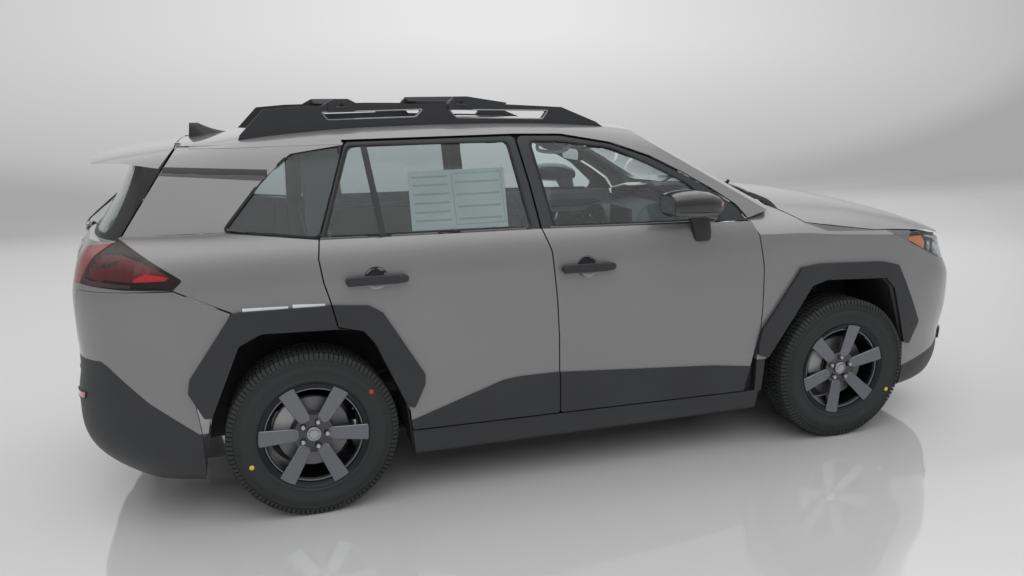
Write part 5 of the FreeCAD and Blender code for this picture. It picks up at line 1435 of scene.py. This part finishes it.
def gate_detail():
    skin = surface_of("liftgate")
    plate_line = softened(flat(-235, 880, 235, 880, 235, 990, -235, 990), 0.01)
    spot, _ = cast(skin, "back", 0.0, 0.935)
    plate = slab(plate_line, spot.x - 0.006, spot.x - 0.001, axis="x", bevel=0.0012)
    rim = bead([Vector((spot.x - 0.006, y, z)) for y, z in plate_line], [Vector((-1, 0, 0))] * len(plate_line), 0.006,
        0.002, closed=True)
    parts = [(plate, plate_white), (rim, plastic)]
    for y in (-0.18, 0.18):
        for z in (0.902, 0.968):
            head = dome(0.006, 0.0026, 14)
            parts.append((head, bolt_metal, spot_frame((spot.x - 0.0058, y, z), (-1, 0, 0))))
    for y in (-0.14, 0.14):
        box_line = [(spot.x - 0.02, 1.0), (spot.x - 0.002, 1.0), (spot.x - 0.002, 1.01), (spot.x - 0.018, 1.01)]
        parts.append((slab(box_line, y - 0.028, y + 0.028, bevel=0.003), lamp_clear))
    grip = soft_slab(flat(-60, 998, 60, 998, 60, 1009, -60, 1009), 0.004, spot.x - 0.024, spot.x - 0.002, axis="x",
        bevel=0.004)
    eye = dome(0.009, 0.007, 18)
    parts += [(grip, plastic), (eye, screen_glass, spot_frame((spot.x - 0.02, 0.085, 1.003), (-1, 0, -0.6)))]
    bar = draped(skin, "back", flat(-460, 1128, 460, 1128, 430, 1192, -430, 1192), -0.001, 0.0035, 0.05)
    parts.append((bar, gloss_black))
    piece("gate_plate", "liftgate", parts, "gloss_black")
    stop_line = softened(flat(-160, 1549, 160, 1549, 155, 1556, -155, 1556), 0.002)
    stop = draped(skin, "back", stop_line, 0.0002, 0.0012, 0.05)
    piece("high_stop_lamp", "liftgate", [(stop, lamp_red)], "lamp_red")


def rail_detail():
    parts = []
    for s in (-1, 1):
        for x in (-0.56, -1.095):
            foot = soft_slab([(x - 0.062, 1.735), (x + 0.062, 1.735), (x + 0.05, 1.772), (x + 0.02, 1.7885),
                (x - 0.02, 1.7885), (x - 0.05, 1.772)], 0.012, s * 0.6 - 0.03, s * 0.6 + 0.03, bevel=0.006, cuts=3)
            cap = soft_slab([(x - 0.026, 1.752), (x + 0.026, 1.752), (x + 0.018, 1.779), (x - 0.018, 1.779)], 0.005,
                s * 0.631 - 0.003, s * 0.631 + 0.003, bevel=0.0016)
            screw = dome(0.008, 0.004, 16)
            parts += [(foot, cladding), (cap, gloss_black), (screw, wheel_dark, spot_frame((x, s * 0.634, 1.765),
                (0, s, 0)))]
        rail = surface_of("roof_rails")
        side = "right" if s < 0 else "left"
        for line in (flat(-1181, 1734, -1155, 1702, -765, 1705, -734, 1737), flat(-613, 1733, -580, 1696, -166, 1680,
                -139, 1718)):
            parts.append((strip_on(rail, side, softened(line, 0.008), 0.005, 0.0018, 0.02, closed=True), cap_grey))
    piece("rail_fittings", "body", parts, "black_cladding")


def scattered(points, normals, shape, finish):
    """The shape set upright on each point."""
    verts, faces = [], []
    for p, n in zip(points, normals):
        at = spot_frame(p, n)
        base = len(verts)
        verts += [at @ Vector((0.0001 * cos(a), 0.0001 * sin(a), 0)) for a in (0, 2.0944, 4.1888)]
        faces.append((base, base + 1, base + 2))
    spots = bpy.data.meshes.new("spots")
    spots.from_pydata(verts, [], faces)
    model = linked("shape", shape)
    return grown(spots, scatter, {"Shape": model, "Finish": finish}, model)


def honeycomb(skin, outline, pitch, lift, finish, deep=0.008):
    """Hexagonal rings set side by side on a face, inside an outline (y, z)."""
    ring = upright(lathe([(pitch * 0.6, -deep), (pitch * 0.6, 0.0), (pitch * 0.5, 0.0015), (pitch * 0.47, -deep)], 6,
        closed=True))
    spots, normals = [], []
    row = 0
    z = min(p[1] for p in outline)
    while z < max(p[1] for p in outline):
        y = min(p[0] for p in outline) + (row % 2) * pitch * 0.5
        while y < max(p[0] for p in outline):
            if inside((y, z), outline):
                spot, normal = cast(skin, "front", y, z)
                spots.append(spot + normal * lift)
                normals.append(normal)
            y += pitch
        z += pitch * 0.866
        row += 1
    return scattered(spots, normals, ring, finish)


def front_detail():
    skin = surface_of("grille")
    field = flat(-585, 640, -640, 720, -600, 836, 600, 836, 640, 720, 585, 640, 420, 532, -420, 532)
    cells = honeycomb(skin, field, 0.03, 0.002, gloss_black)
    body_skin = surface_of("front_bumper", "front_lower_bumper")
    parts = [(cells, gloss_black)]
    rim_line = softened(flat(-566, 636, -646, 720, -606, 842, 606, 842, 646, 720, 566, 636, 424, 514, -424, 514), 0.02)
    parts.append((strip_on(body_skin, "front", rim_line, 0.014, 0.004, 0.03, closed=True), gloss_black))
    bumper = surface_of("front_lower_bumper")
    skid = draped(bumper, "front", softened(flat(-400, 300, 400, 300, 460, 400, 360, 470, -360, 470, -460, 400), 0.03),
        0.0, 0.006, 0.05)
    parts.append((skid, skid_grey))
    for s in (-1, 1):
        spot, normal = cast(bumper, "front", s * 0.66, 0.44)
        at = spot_frame(spot + normal * 0.001, normal)
        bezel = soft_slab(flat(-60, -34, 60, -34, 50, 34, -50, 34), 0.012, -0.004, 0.006, axis="z", bevel=0.003)
        eye = dome(0.024, 0.011, 26)
        parts += [(bezel, gloss_black, at), (eye, lamp_clear, at @ put(0, 0, 0.005))]
        spot, normal = cast(bumper, "front", s * 0.24, 0.36)
        hook = soft_slab(flat(-28, -28, 28, -28, 28, 28, -28, 28), 0.008, 0.004, 0.0085, axis="z", bevel=0.001)
        parts.append((hook, cladding, spot_frame(spot, normal)))
    plate_line = softened(flat(-155, 560, 155, 560, 155, 665, -155, 665), 0.008)
    near = min(cast(surface_of("grille", "front_bumper"), "front", y, z)[0].x for y in (-0.15, 0, 0.15)
        for z in (0.57, 0.66))
    far = max(cast(skin, "front", y, z)[0].x for y in (-0.15, 0, 0.15) for z in (0.57, 0.66))
    parts.append((slab(plate_line, near, far + 0.0005, axis="x", bevel=0.0015), cladding))
    piece("front_detail", "body", parts, "black_cladding")


def rear_bumper_detail():
    skin = surface_of("rear_lower_bumper", "rear_bumper")
    parts = []
    for s in (-1, 1):
        line = softened([(s * 0.52, 0.56), (s * 0.7, 0.585), (s * 0.705, 0.612), (s * 0.53, 0.59)], 0.008)
        parts.append((draped(skin, "back", line, -0.0005, 0.005, 0.02), reflector_red))
        parts.append((strip_on(skin, "back", line, 0.004, 0.0055, 0.02, closed=True), cladding))
        for y, z in ((0.22, 0.665), (0.56, 0.69)):
            spot, normal = cast(skin, "back", s * y, z)
            parts.append((dome(0.01, 0.0025, 20), cladding, spot_frame(spot, normal)))
    skid = draped(surface_of("rear_lower_bumper"), "back", softened(flat(-360, 330, 360, 330, 430, 430, -430, 430),
        0.03), 0.0, 0.006, 0.05)
    parts.append((skid, skid_grey))
    piece("rear_bumper_detail", "body", parts, "black_cladding")


def pod(rings, power=3.0, count=36):
    """Rounded box through (centre, half sizes) rings; each centre and size pair spans two axes."""
    out = []
    for centre, across, up in rings:
        ring = []
        for a in around(count):
            c, d = cos(a), sin(a)
            ring.append(centre + across * (copysign(abs(c) ** (2 / power), c)) + up * (copysign(abs(d) ** (2 / power),
                d)))
        out.append(ring)
    return loft(out)


def mirrors():
    """Door mirrors: rounded shell, glossy cap, rounded foot, glass and turn lamp."""
    def shell(stations, grow=0.0):
        return pod([(Vector((x, 0.5 * (y0 + y1), 0.5 * (z0 + z1))), Vector((0, 0.5 * (y1 - y0) + grow, 0)),
            Vector((0, 0, 0.5 * (z1 - z0) + grow))) for x, y0, y1, z0, z1 in stations], 3.4)

    body_shape = shell([(0.313, -1.046, -0.884, 1.24, 1.334), (0.326, -1.052, -0.88, 1.232, 1.341),
        (0.38, -1.057, -0.876, 1.226, 1.349), (0.44, -1.058, -0.873, 1.222, 1.35), (0.5, -1.054, -0.872, 1.222, 1.341),
        (0.545, -1.04, -0.874, 1.228, 1.322), (0.572, -1.018, -0.882, 1.238, 1.302), (0.583, -0.99, -0.9, 1.25, 1.286),
        (0.586, -0.965, -0.925, 1.262, 1.276)])
    tree = BVHTree.FromPolygons([v.co for v in body_shape.vertices], [tuple(p.vertices) for p in body_shape.polygons])
    foot = pod([(Vector((x, -0.898, z)), Vector((half, 0, 0)), Vector((0, 0.024, 0))) for x, z,
        half in ((0.53, 1.101, 0.036), (0.529, 1.112, 0.044), (0.527, 1.14, 0.047), (0.52, 1.18, 0.048),
        (0.508, 1.215, 0.054), (0.496, 1.24, 0.06))], 2.8)
    face = flat(-1040, 1248, -890, 1248, -890, 1316, -912, 1329, -1020, 1329, -1042, 1312)
    line = softened(face, 0.014)
    glass = draped(tree, "back", line, 0.0006, 0.0018, 0.02)
    edge = strip_on(tree, "back", line, 0.005, 0.003, 0.02, closed=True)
    blinker = strip_on(tree, "front", flat(-1036, 1284, -1000, 1290, -950, 1289), 0.007, 0.0016, 0.01)
    cap = draped(tree, "right", softened(flat(332, 1268, 560, 1256, 572, 1276, 530, 1318, 440, 1340, 334, 1332),
        0.012), -0.0004, 0.0016, 0.012)
    seam = strip_on(tree, "right", flat(322, 1262, 450, 1256, 576, 1250), 0.0035, 0.001, 0.015)
    sides("door_mirror_shell", "front_door", [(body_shape, gloss_black), (foot, cladding), (glass, mirror_glass),
        (edge, cladding), (cap, gloss_black), (blinker, orange_lens), (seam, wheel_dark)], "gloss_black",
        ["door_mirror"])


def door_handles():
    """Fuller grip over each packed handle, with a dark half-disc painted as the shadow in the pocket behind it."""
    for end, x0, x1, z in (("front", -0.189, 0.07, 1.02), ("rear", -1.155, -0.888, 1.04)):
        grip = soft_slab([(x0 + 0.004, z - 0.019), (x0 + 0.06, z - 0.018), (x1 - 0.05, z - 0.021),
            (x1 - 0.002, z - 0.016), (x1 - 0.002, z + 0.014), (x1 - 0.05, z + 0.018), (x0 + 0.06, z + 0.02),
            (x0 + 0.004, z + 0.018)], 0.012, -0.9475, -0.929, bevel=0.005, cuts=3)
        middle = 0.5 * (x0 + x1)
        rim = [(middle + 0.05 * cos(a), z + 0.006 + 0.046 * sin(a)) for a in (pi * k / 18 for k in range(19))]
        # dark sheet over the pocket's upper half: painted shadow
        pocket = draped(surface_of(end + "_door_right"), "right", rim, -0.001, 0.0018, 0.015)
        lip = strip_on(surface_of(end + "_door_right"), "right", [(middle + 0.056 * cos(a), z + 0.052 * sin(a))
            for a in (pi * (1.06 + 0.88 * k / 17) for k in range(18))], 0.004, 0.001, 0.01)
        sides(end + "_handle_grip", end + "_door", [(grip, cladding), (pocket, cladding), (lip, paint)],
            "black_cladding")


def roof_fin():
    """Rounded aerial fin on the roof's rear."""
    roof = surface_of("roof")
    rings = []
    for h in (0.0, 0.12, 0.3, 0.5, 0.7, 0.86, 0.96, 1.0):
        rear, front = -1.764 + 0.008 * h, -1.574 - 0.142 * h ** 0.8
        half = 0.027 * (1 - h) ** 0.6 + 0.0035
        ring = []
        for a in around(32):
            x = 0.5 * (rear + front) + 0.5 * (front - rear) * copysign(abs(cos(a)) ** 0.8, cos(a))
            y = half * sin(a) * (0.75 if x > 0.5 * (rear + front) else 1.0)
            spot, _ = cast(roof, "top", x, y)
            ring.append(Vector((x, y, (spot.z - 0.003) * (1 - h) + 1.691 * h)))
        rings.append(ring)
    piece("aerial_fin", "body", [(loft(rings), cladding)], "black_cladding", ["antenna"])


def roof_ditch():
    """Painted filler over the seam between the roof and the rear pillar."""
    roof, side = surface_of("roof"), surface_of("rear_pillars", "quarters")

    def across(tree, x, z):
        return tree.ray_cast(Vector((x, -2.0, z)), Vector((0, 1, 0)), 1.6)[0]

    rings = []
    for k in range(27):
        x = -1.74 + 0.628 * k / 26
        z_up = next((z for z in (1.56 + 0.002 * i for i in range(50)) if across(roof, x, z)), None)
        z_low = next((z for z in (1.64 - 0.002 * i for i in range(60)) if across(side, x, z)), None)
        if z_up is None or z_low is None:
            continue
        above, below = across(roof, x, z_up + 0.005), across(side, x, z_low - 0.005)
        if above is None or below is None:
            continue
        out = Vector((0, -0.0009, 0.0009))
        rings.append([below + out, above + out, above - out * 3, below - out * 3])
    sides("roof_ditch_filler", "body", [(loft(rings), paint)], "grey_paint")


def paper_and_painted_highlights():
    pane = surface_of("rear_door_glass_right")
    sheet = draped(pane, "left", flat(-846, 1224, -412, 1218, -400, 1473, -840, 1473), 0.0008, 0.0004, 0.05, start=0.0)
    parts = [(sheet, paper)]
    lines = []
    for z in (1.262, 1.297, 1.335, 1.373, 1.411, 1.446):
        lines.append([(-0.825, z), (-0.665, z)])
    for z in (1.262, 1.314, 1.366, 1.418):
        lines.append([(-0.632, z), (-0.432, z)])
    for a, b in lines:
        parts.append((strip_on(pane, "left", [a, b], 0.009, 0.0003, 0.05, start=0.0, lift=0.0015), paper_grey))
    box_line = softened(flat(-645, 1240, -422, 1240, -418, 1456, -645, 1456), 0.004)
    parts.append((strip_on(pane, "left", box_line, 0.004, 0.0003, 0.05, closed=True, start=0.0, lift=0.0015),
        paper_grey))
    piece("window_sheet", "rear_door_right", parts)
    # two white strips above the rear arch: painted highlights where ceiling lights reflect on the ledge
    side = surface_of("quarters", "rear_door_right")
    strips = [flat(-1577, 932, -1394, 929, -1393, 952, -1577, 958), flat(-1376, 934, -1244, 928, -1243, 950, -1376,
        957)]
    piece("film_strips", "body", [(draped(side, "right", line, 0.0002, 0.0005, 0.02), painted_highlight_white) for line in strips])


def rear_strip():
    """The dark band that carries the spoiler's line forward to the quarter window."""
    side = surface_of("rear_pillars", "quarters", "roof")
    band = strip_on(side, "right", flat(-1846, 1515, -1640, 1503, -1432, 1491), 0.032, 0.0022, 0.03)
    sides("pillar_band", "body", [(band, cladding)], "gloss_black")


def bonnet_edge():
    """The wing's turned-in flange under the bonnet's side edge."""
    hood, wing = surface_of("bonnet"), surface_of("fenders")

    def reach(tree, x, levels):
        for z in levels:
            spot, _, _, _ = tree.ray_cast(Vector((x, -3.0, z)), Vector((0, 1, 0)), 2.5)
            if spot is not None:
                return spot
        return None

    rings = []
    for k in range(40):
        x = 1.05 + 0.7 * k / 39
        low = reach(hood, x, [1.0 + 0.001 * i for i in range(260)])
        high = reach(wing, x, [1.26 - 0.001 * i for i in range(260)])
        if low is None or high is None:
            continue
        foot = high + Vector((0, 0.003, -0.008))
        head = Vector((x, high.y + 0.008, max(low.z - 0.004, foot.z + 0.004)))
        rings.append([foot, head, head + Vector((0, 0.003, 0)), foot + Vector((0, 0.003, 0))])
    sides("wing_flange", "body", [(loft(rings), paint)], "grey_paint")


def lamp_brows():
    """Painted strips that close the nose between the bonnet's corners and the headlamps."""
    hood, face = surface_of("bonnet"), surface_of("headlamps", "front_bumper", "fenders", "grille")

    def down(tree, x, y, reach):
        return tree.ray_cast(Vector((x, y, 2.0)), Vector((0, 0, -1)), reach)[0]

    rings = []
    for k in range(30):
        y = -0.412 - 0.33 * k / 29
        lip = next((x for x in (2.24 - 0.004 * i for i in range(80)) if down(hood, x, y, 1.2)), None)
        if lip is None:
            continue
        under = hood.ray_cast(Vector((lip - 0.01, y, 0.5)), Vector((0, 0, 1)), 2.0)[0]
        foot = next((p for p in (down(face, lip + dx, y, 1.15) for dx in (-0.012, 0.01, 0.03, 0.05)) if p), None)
        if under is None or foot is None or under.z - foot.z < 0.004:
            continue
        head = Vector((lip - 0.014, y, under.z - 0.004))
        foot = foot + Vector((0, 0, -0.003))
        rings.append([foot, head, head - Vector((0.004, 0, 0)), foot - Vector((0.004, 0, 0))])
    sides("nose_corner", "body", [(loft(rings), paint)], "grey_paint")


def tyre_marks():
    dot = dome(0.0105, 0.0012, 18)
    for body, x, marks in (("wheel_rear_right", rear_x, [(0.245, 201.5, mark_yellow), (0.262, 34.0, mark_red)]),
            ("wheel_front_right", front_x, [(0.262, -27.0, mark_yellow)])):
        parts = []
        for r, angle, finish in marks:
            a = radians(angle)
            spot = Vector((x + (r + 0.045) * cos(a), -wheel_y - 0.1176, hub_z + (r + 0.045) * sin(a)))
            parts.append((dot, finish, spot_frame(spot, (0, -1, 0))))
        piece("tyre_marks_" + body[6:], body, parts)


def running_gear():
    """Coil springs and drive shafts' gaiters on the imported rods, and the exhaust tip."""
    parts = []
    for s in (-1, 1):
        for count, turns, x, y, z, wide, across, tall, wire in ((150, 6.2, front_x, 0.575, 0.56, 0.058, 0.04 * 0.9,
                0.27, 0.0062), (120, 5.2, -1.46, 0.4, 0.365, 0.045, 0.045, 0.17, 0.0058)):
            coil = [(x + wide * cos(2 * pi * turns * t), s * y + across * sin(2 * pi * turns * t), z + tall * t)
                for t in (k / (count - 1) for k in range(count))]
            parts.append((tube(coil, wire, 8), spring_grey))
        boot = lathe([(0.026 + 0.01 * (k % 2) + 0.01 * k / 16, 0.1 * k / 16) for k in range(17)], 28)
        parts.append((boot, rubber, put(rear_x, s * 0.5 if s > 0 else -0.6, hub_z)))
    piece("springs_and_boots", "body", parts, "body_steel")
    tip = lathe(flat(30, 0, 36, -2, 38, 4, 38, 110, 34, 112, 32, 20), 36, closed=True)
    at = put(-2.115, 0.365, 0.262) @ spin(-90, "Z")
    piece("exhaust_tip", "body", [(tip, cap_grey, at)], "body_steel")


def engine_bay():
    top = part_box("engine_block")[1].z
    cover = soft_slab(flat(1215, -270, 1545, -270, 1585, -200, 1585, 200, 1545, 270, 1215, 270), 0.05, top - 0.01,
        top + 0.036, axis="z", bevel=0.014, cuts=3)
    rib = slab(flat(1250, -4, 1545, -4, 1545, 4, 1250, 4), top + 0.034, top + 0.042, axis="z", bevel=0.0015)
    parts = [(cover, cladding), (repeated(moved(rib, put(0, -0.2, 0)), cladding, 9, shift=(0, 0.05, 0)), cladding)]
    cap = upright(lathe(flat(0, 22, 26, 20, 30, 12, 31, -6), 30))
    parts.append((cap, plastic, put(1.5, -0.33, top + 0.01)))
    battery = slab(rect(1.15, 1.36, top - 0.02, top + 0.03), 0.285, 0.395, bevel=0.006)
    parts.append((battery, plastic))
    for x in (1.185, 1.325):
        post = dome(0.011, 0.016, 18)
        parts.append((post, cap_grey, put(x, 0.315, top + 0.029)))
    hose = tube(sweep_line([(1.6, -0.22, top - 0.05), (1.7, -0.24, top + 0.005), (1.8, -0.2, top - 0.01),
        (1.9, -0.14, top - 0.1), (1.96, -0.12, top - 0.2)], 20), 0.022, 14)
    parts.append((hose, rubber))
    tank = soft_slab(flat(1620, 240, 1760, 240, 1760, 370, 1620, 370), 0.03, top - 0.16, top + 0.005, axis="z",
        bevel=0.01)
    parts += [(tank, cap_grey), (cap, plastic, put(1.69, 0.305, top + 0.004))]
    piece("engine_dress", "body", parts, "engine_metal")


def bonnet_lining():
    under = surface_of("bonnet")
    felt = draped(under, "under", softened(flat(1200, -520, 1950, -500, 2060, -300, 2060, 300, 1950, 500, 1200, 520),
        0.06), 0.001, 0.01, 0.06, start=-0.2)
    met = [cast(under, "under", x, y, -0.2) for x in (1.26, 1.55, 1.84) for y in (-0.42, -0.14, 0.14, 0.42)]
    studs, ups = [spot + up * 0.011 for spot, up in met], [up for _, up in met]
    parts = [(felt, carpet), (scattered(studs, ups, dome(0.012, 0.003, 14), plastic), plastic)]
    piece("bonnet_lining", "bonnet", parts, "cabin_plastic")
    gate = surface_of("liftgate")
    card = draped(gate, "front", softened(flat(-520, 800, 520, 800, 600, 950, 620, 1170, -620, 1170, -600, 950), 0.05),
        0.001, 0.008, 0.07, start=2.0 - 3.6)
    piece("liftgate_lining", "liftgate", [(card, plastic)], "cabin_plastic")


def body_seams():
    """Fuel flap on the left and the flares' lower screws."""
    skin = surface_of("quarters")
    flap = softened(flat(-1560, 1010, -1400, 1010, -1396, 1150, -1556, 1154), 0.03)
    parts = [(strip_on(skin, "left", flap, 0.0045, 0.0006, 0.02, closed=True), wheel_dark)]
    piece("fuel_flap_line", "body", parts, "grey_paint")
    arches = surface_of("arch_flares")
    met = [cast(arches, side, x, z) for side in ("right", "left") for x, z in ((0.905, 0.545), (1.795, 0.56),
        (-1.785, 0.585))]
    spots, ups = zip(*met)
    piece("flare_screws", "body", [(scattered(spots, ups, dome(0.0065, 0.0025, 12), plastic), plastic)],
        "black_cladding")


make_wheels()
tyre_marks()
front_lamps()
rear_lamps()
glass_edges()
screen_wipers()
cowl()
rear_wiper()
gate_detail()
rail_detail()
front_detail()
rear_bumper_detail()
mirrors()
paper_and_painted_highlights()
rear_strip()
bonnet_edge()
lamp_brows()
door_handles()
roof_fin()
roof_ditch()
front_seats()
rear_seats()
steering_wheel()
dashboard_detail()
upper_cabin()
belts()
door_cards()
running_gear()
engine_bay()
bonnet_lining()
body_seams()


# floor and backdrop
def backdrop():
    t = Tree("studio_floor")
    place = t.coords()
    axes = t.add("ShaderNodeSeparateXYZ", i0=place).outputs
    ray = t.add("ShaderNodeLightPath").outputs
    seen = t.add("ShaderNodeMath", {"operation": "MAXIMUM"}, i0=ray["Is Camera Ray"],
        i1=ray["Is Glossy Ray"]).outputs[0]
    plain = t.ramp(t.spread(axes["Y"], 0, 1, -2.0, 10.0), [(0.0, (0.5, 0.5, 0.5)), (1.0, (0.44, 0.44, 0.44))])
    # what camera and reflections see of the floor: even tone with painted shade, a darker band where the floor bends
    # up into the wall
    floor_tone_and_painted_shade = t.ramp(t.spread(axes["Y"], 0, 1, -6.0, 10.0), [(0.0, (0.5, 0.5, 0.5)), (0.45, (0.52, 0.52, 0.52)),
        (0.82, (0.5, 0.5, 0.5)), (0.97, (0.34, 0.34, 0.34))])
    tone = t.add("ShaderNodeMix", {"data_type": "RGBA"}, i0=seen, i6=plain, i7=floor_tone_and_painted_shade).outputs[2]
    ground = shader(t, Base_Color=tone, Roughness=t.spread(t.noise(5.0, 3.0), 0.035, 0.06), IOR=2.7,
        Specular_IOR_Level=0.5)
    # the wall seen by camera and reflections glows with painted light: brightest high in the middle, dimmer to the
    # sides and down towards the floor
    capped = t.add("ShaderNodeVectorMath", {"operation": "MINIMUM"}, i0=place, i1=(99.0, 99.0, 3.2)).outputs[0]
    spread = t.add("ShaderNodeVectorMath", {"operation": "MULTIPLY_ADD"}, i0=capped, i1=(0.064, 0.0, 0.3),
        i2=(-0.23, 0.0, -0.96)).outputs[0]
    away = t.add("ShaderNodeVectorMath", {"operation": "LENGTH"}, i0=spread).outputs["Value"]
    painted_wall_light = t.ramp(away, [(0.1, (0.8, 0.8, 0.8)), (0.6, (0.6, 0.6, 0.6)), (0.88, (0.5, 0.5, 0.5)),
        (1.0, (0.385, 0.385, 0.385))])
    glow = t.add("ShaderNodeEmission", Color=painted_wall_light, Strength=1.0).outputs[0]
    upper = t.add("ShaderNodeMath", {"operation": "MULTIPLY"}, i0=seen, i1=t.spread(axes["Y"], 0, 1, 9.2,
        10.4)).outputs[0]
    mat = t.finish(t.add("ShaderNodeMixShader", i0=upper, i1=ground, i2=glow).outputs[0])
    profile = flat(-12000, 0, 9000, 0, 10200, 60, 11400, 340, 12400, 950, 13100, 2000, 13500, 3600, 13600, 9000)
    rows = []
    for x in (-26.0, 26.0):
        rows.append([Vector((x, y, z)) for y, z in profile])
    mesh = loft(rows, caps=False, loop=False)
    if mesh.polygons[0].normal.z < 0:
        mesh.flip_normals()
    mesh.materials.append(mat)
    linked("floor", mesh)


backdrop()


def studio_world():
    t = Tree("studio_world", "world")
    way = t.add("ShaderNodeTexCoord").outputs["Generated"]
    height = t.add("ShaderNodeSeparateXYZ", i0=way).outputs["Z"]
    sky = t.ramp(t.spread(height, 0, 1, -0.2, 1.0), [(0.0, (0.45, 0.45, 0.45)), (0.2, (0.55, 0.55, 0.56)),
        (0.45, (0.8, 0.8, 0.81)), (1.0, (1.0, 1.0, 1.0))])
    light = t.add("ShaderNodeBackground", Color=sky, Strength=t.spread(height, 0.66, 1.75, 0.36, 0.84)).outputs[0]
    seen = t.add("ShaderNodeBackground", Color=(0.6, 0.6, 0.6, 1), Strength=1.0).outputs[0]
    path = t.add("ShaderNodeLightPath").outputs["Is Camera Ray"]
    t.add("ShaderNodeOutputWorld", Surface=t.add("ShaderNodeMixShader", i0=path, i1=light, i2=seen).outputs[0])
    scene.world = t.owner


studio_world()
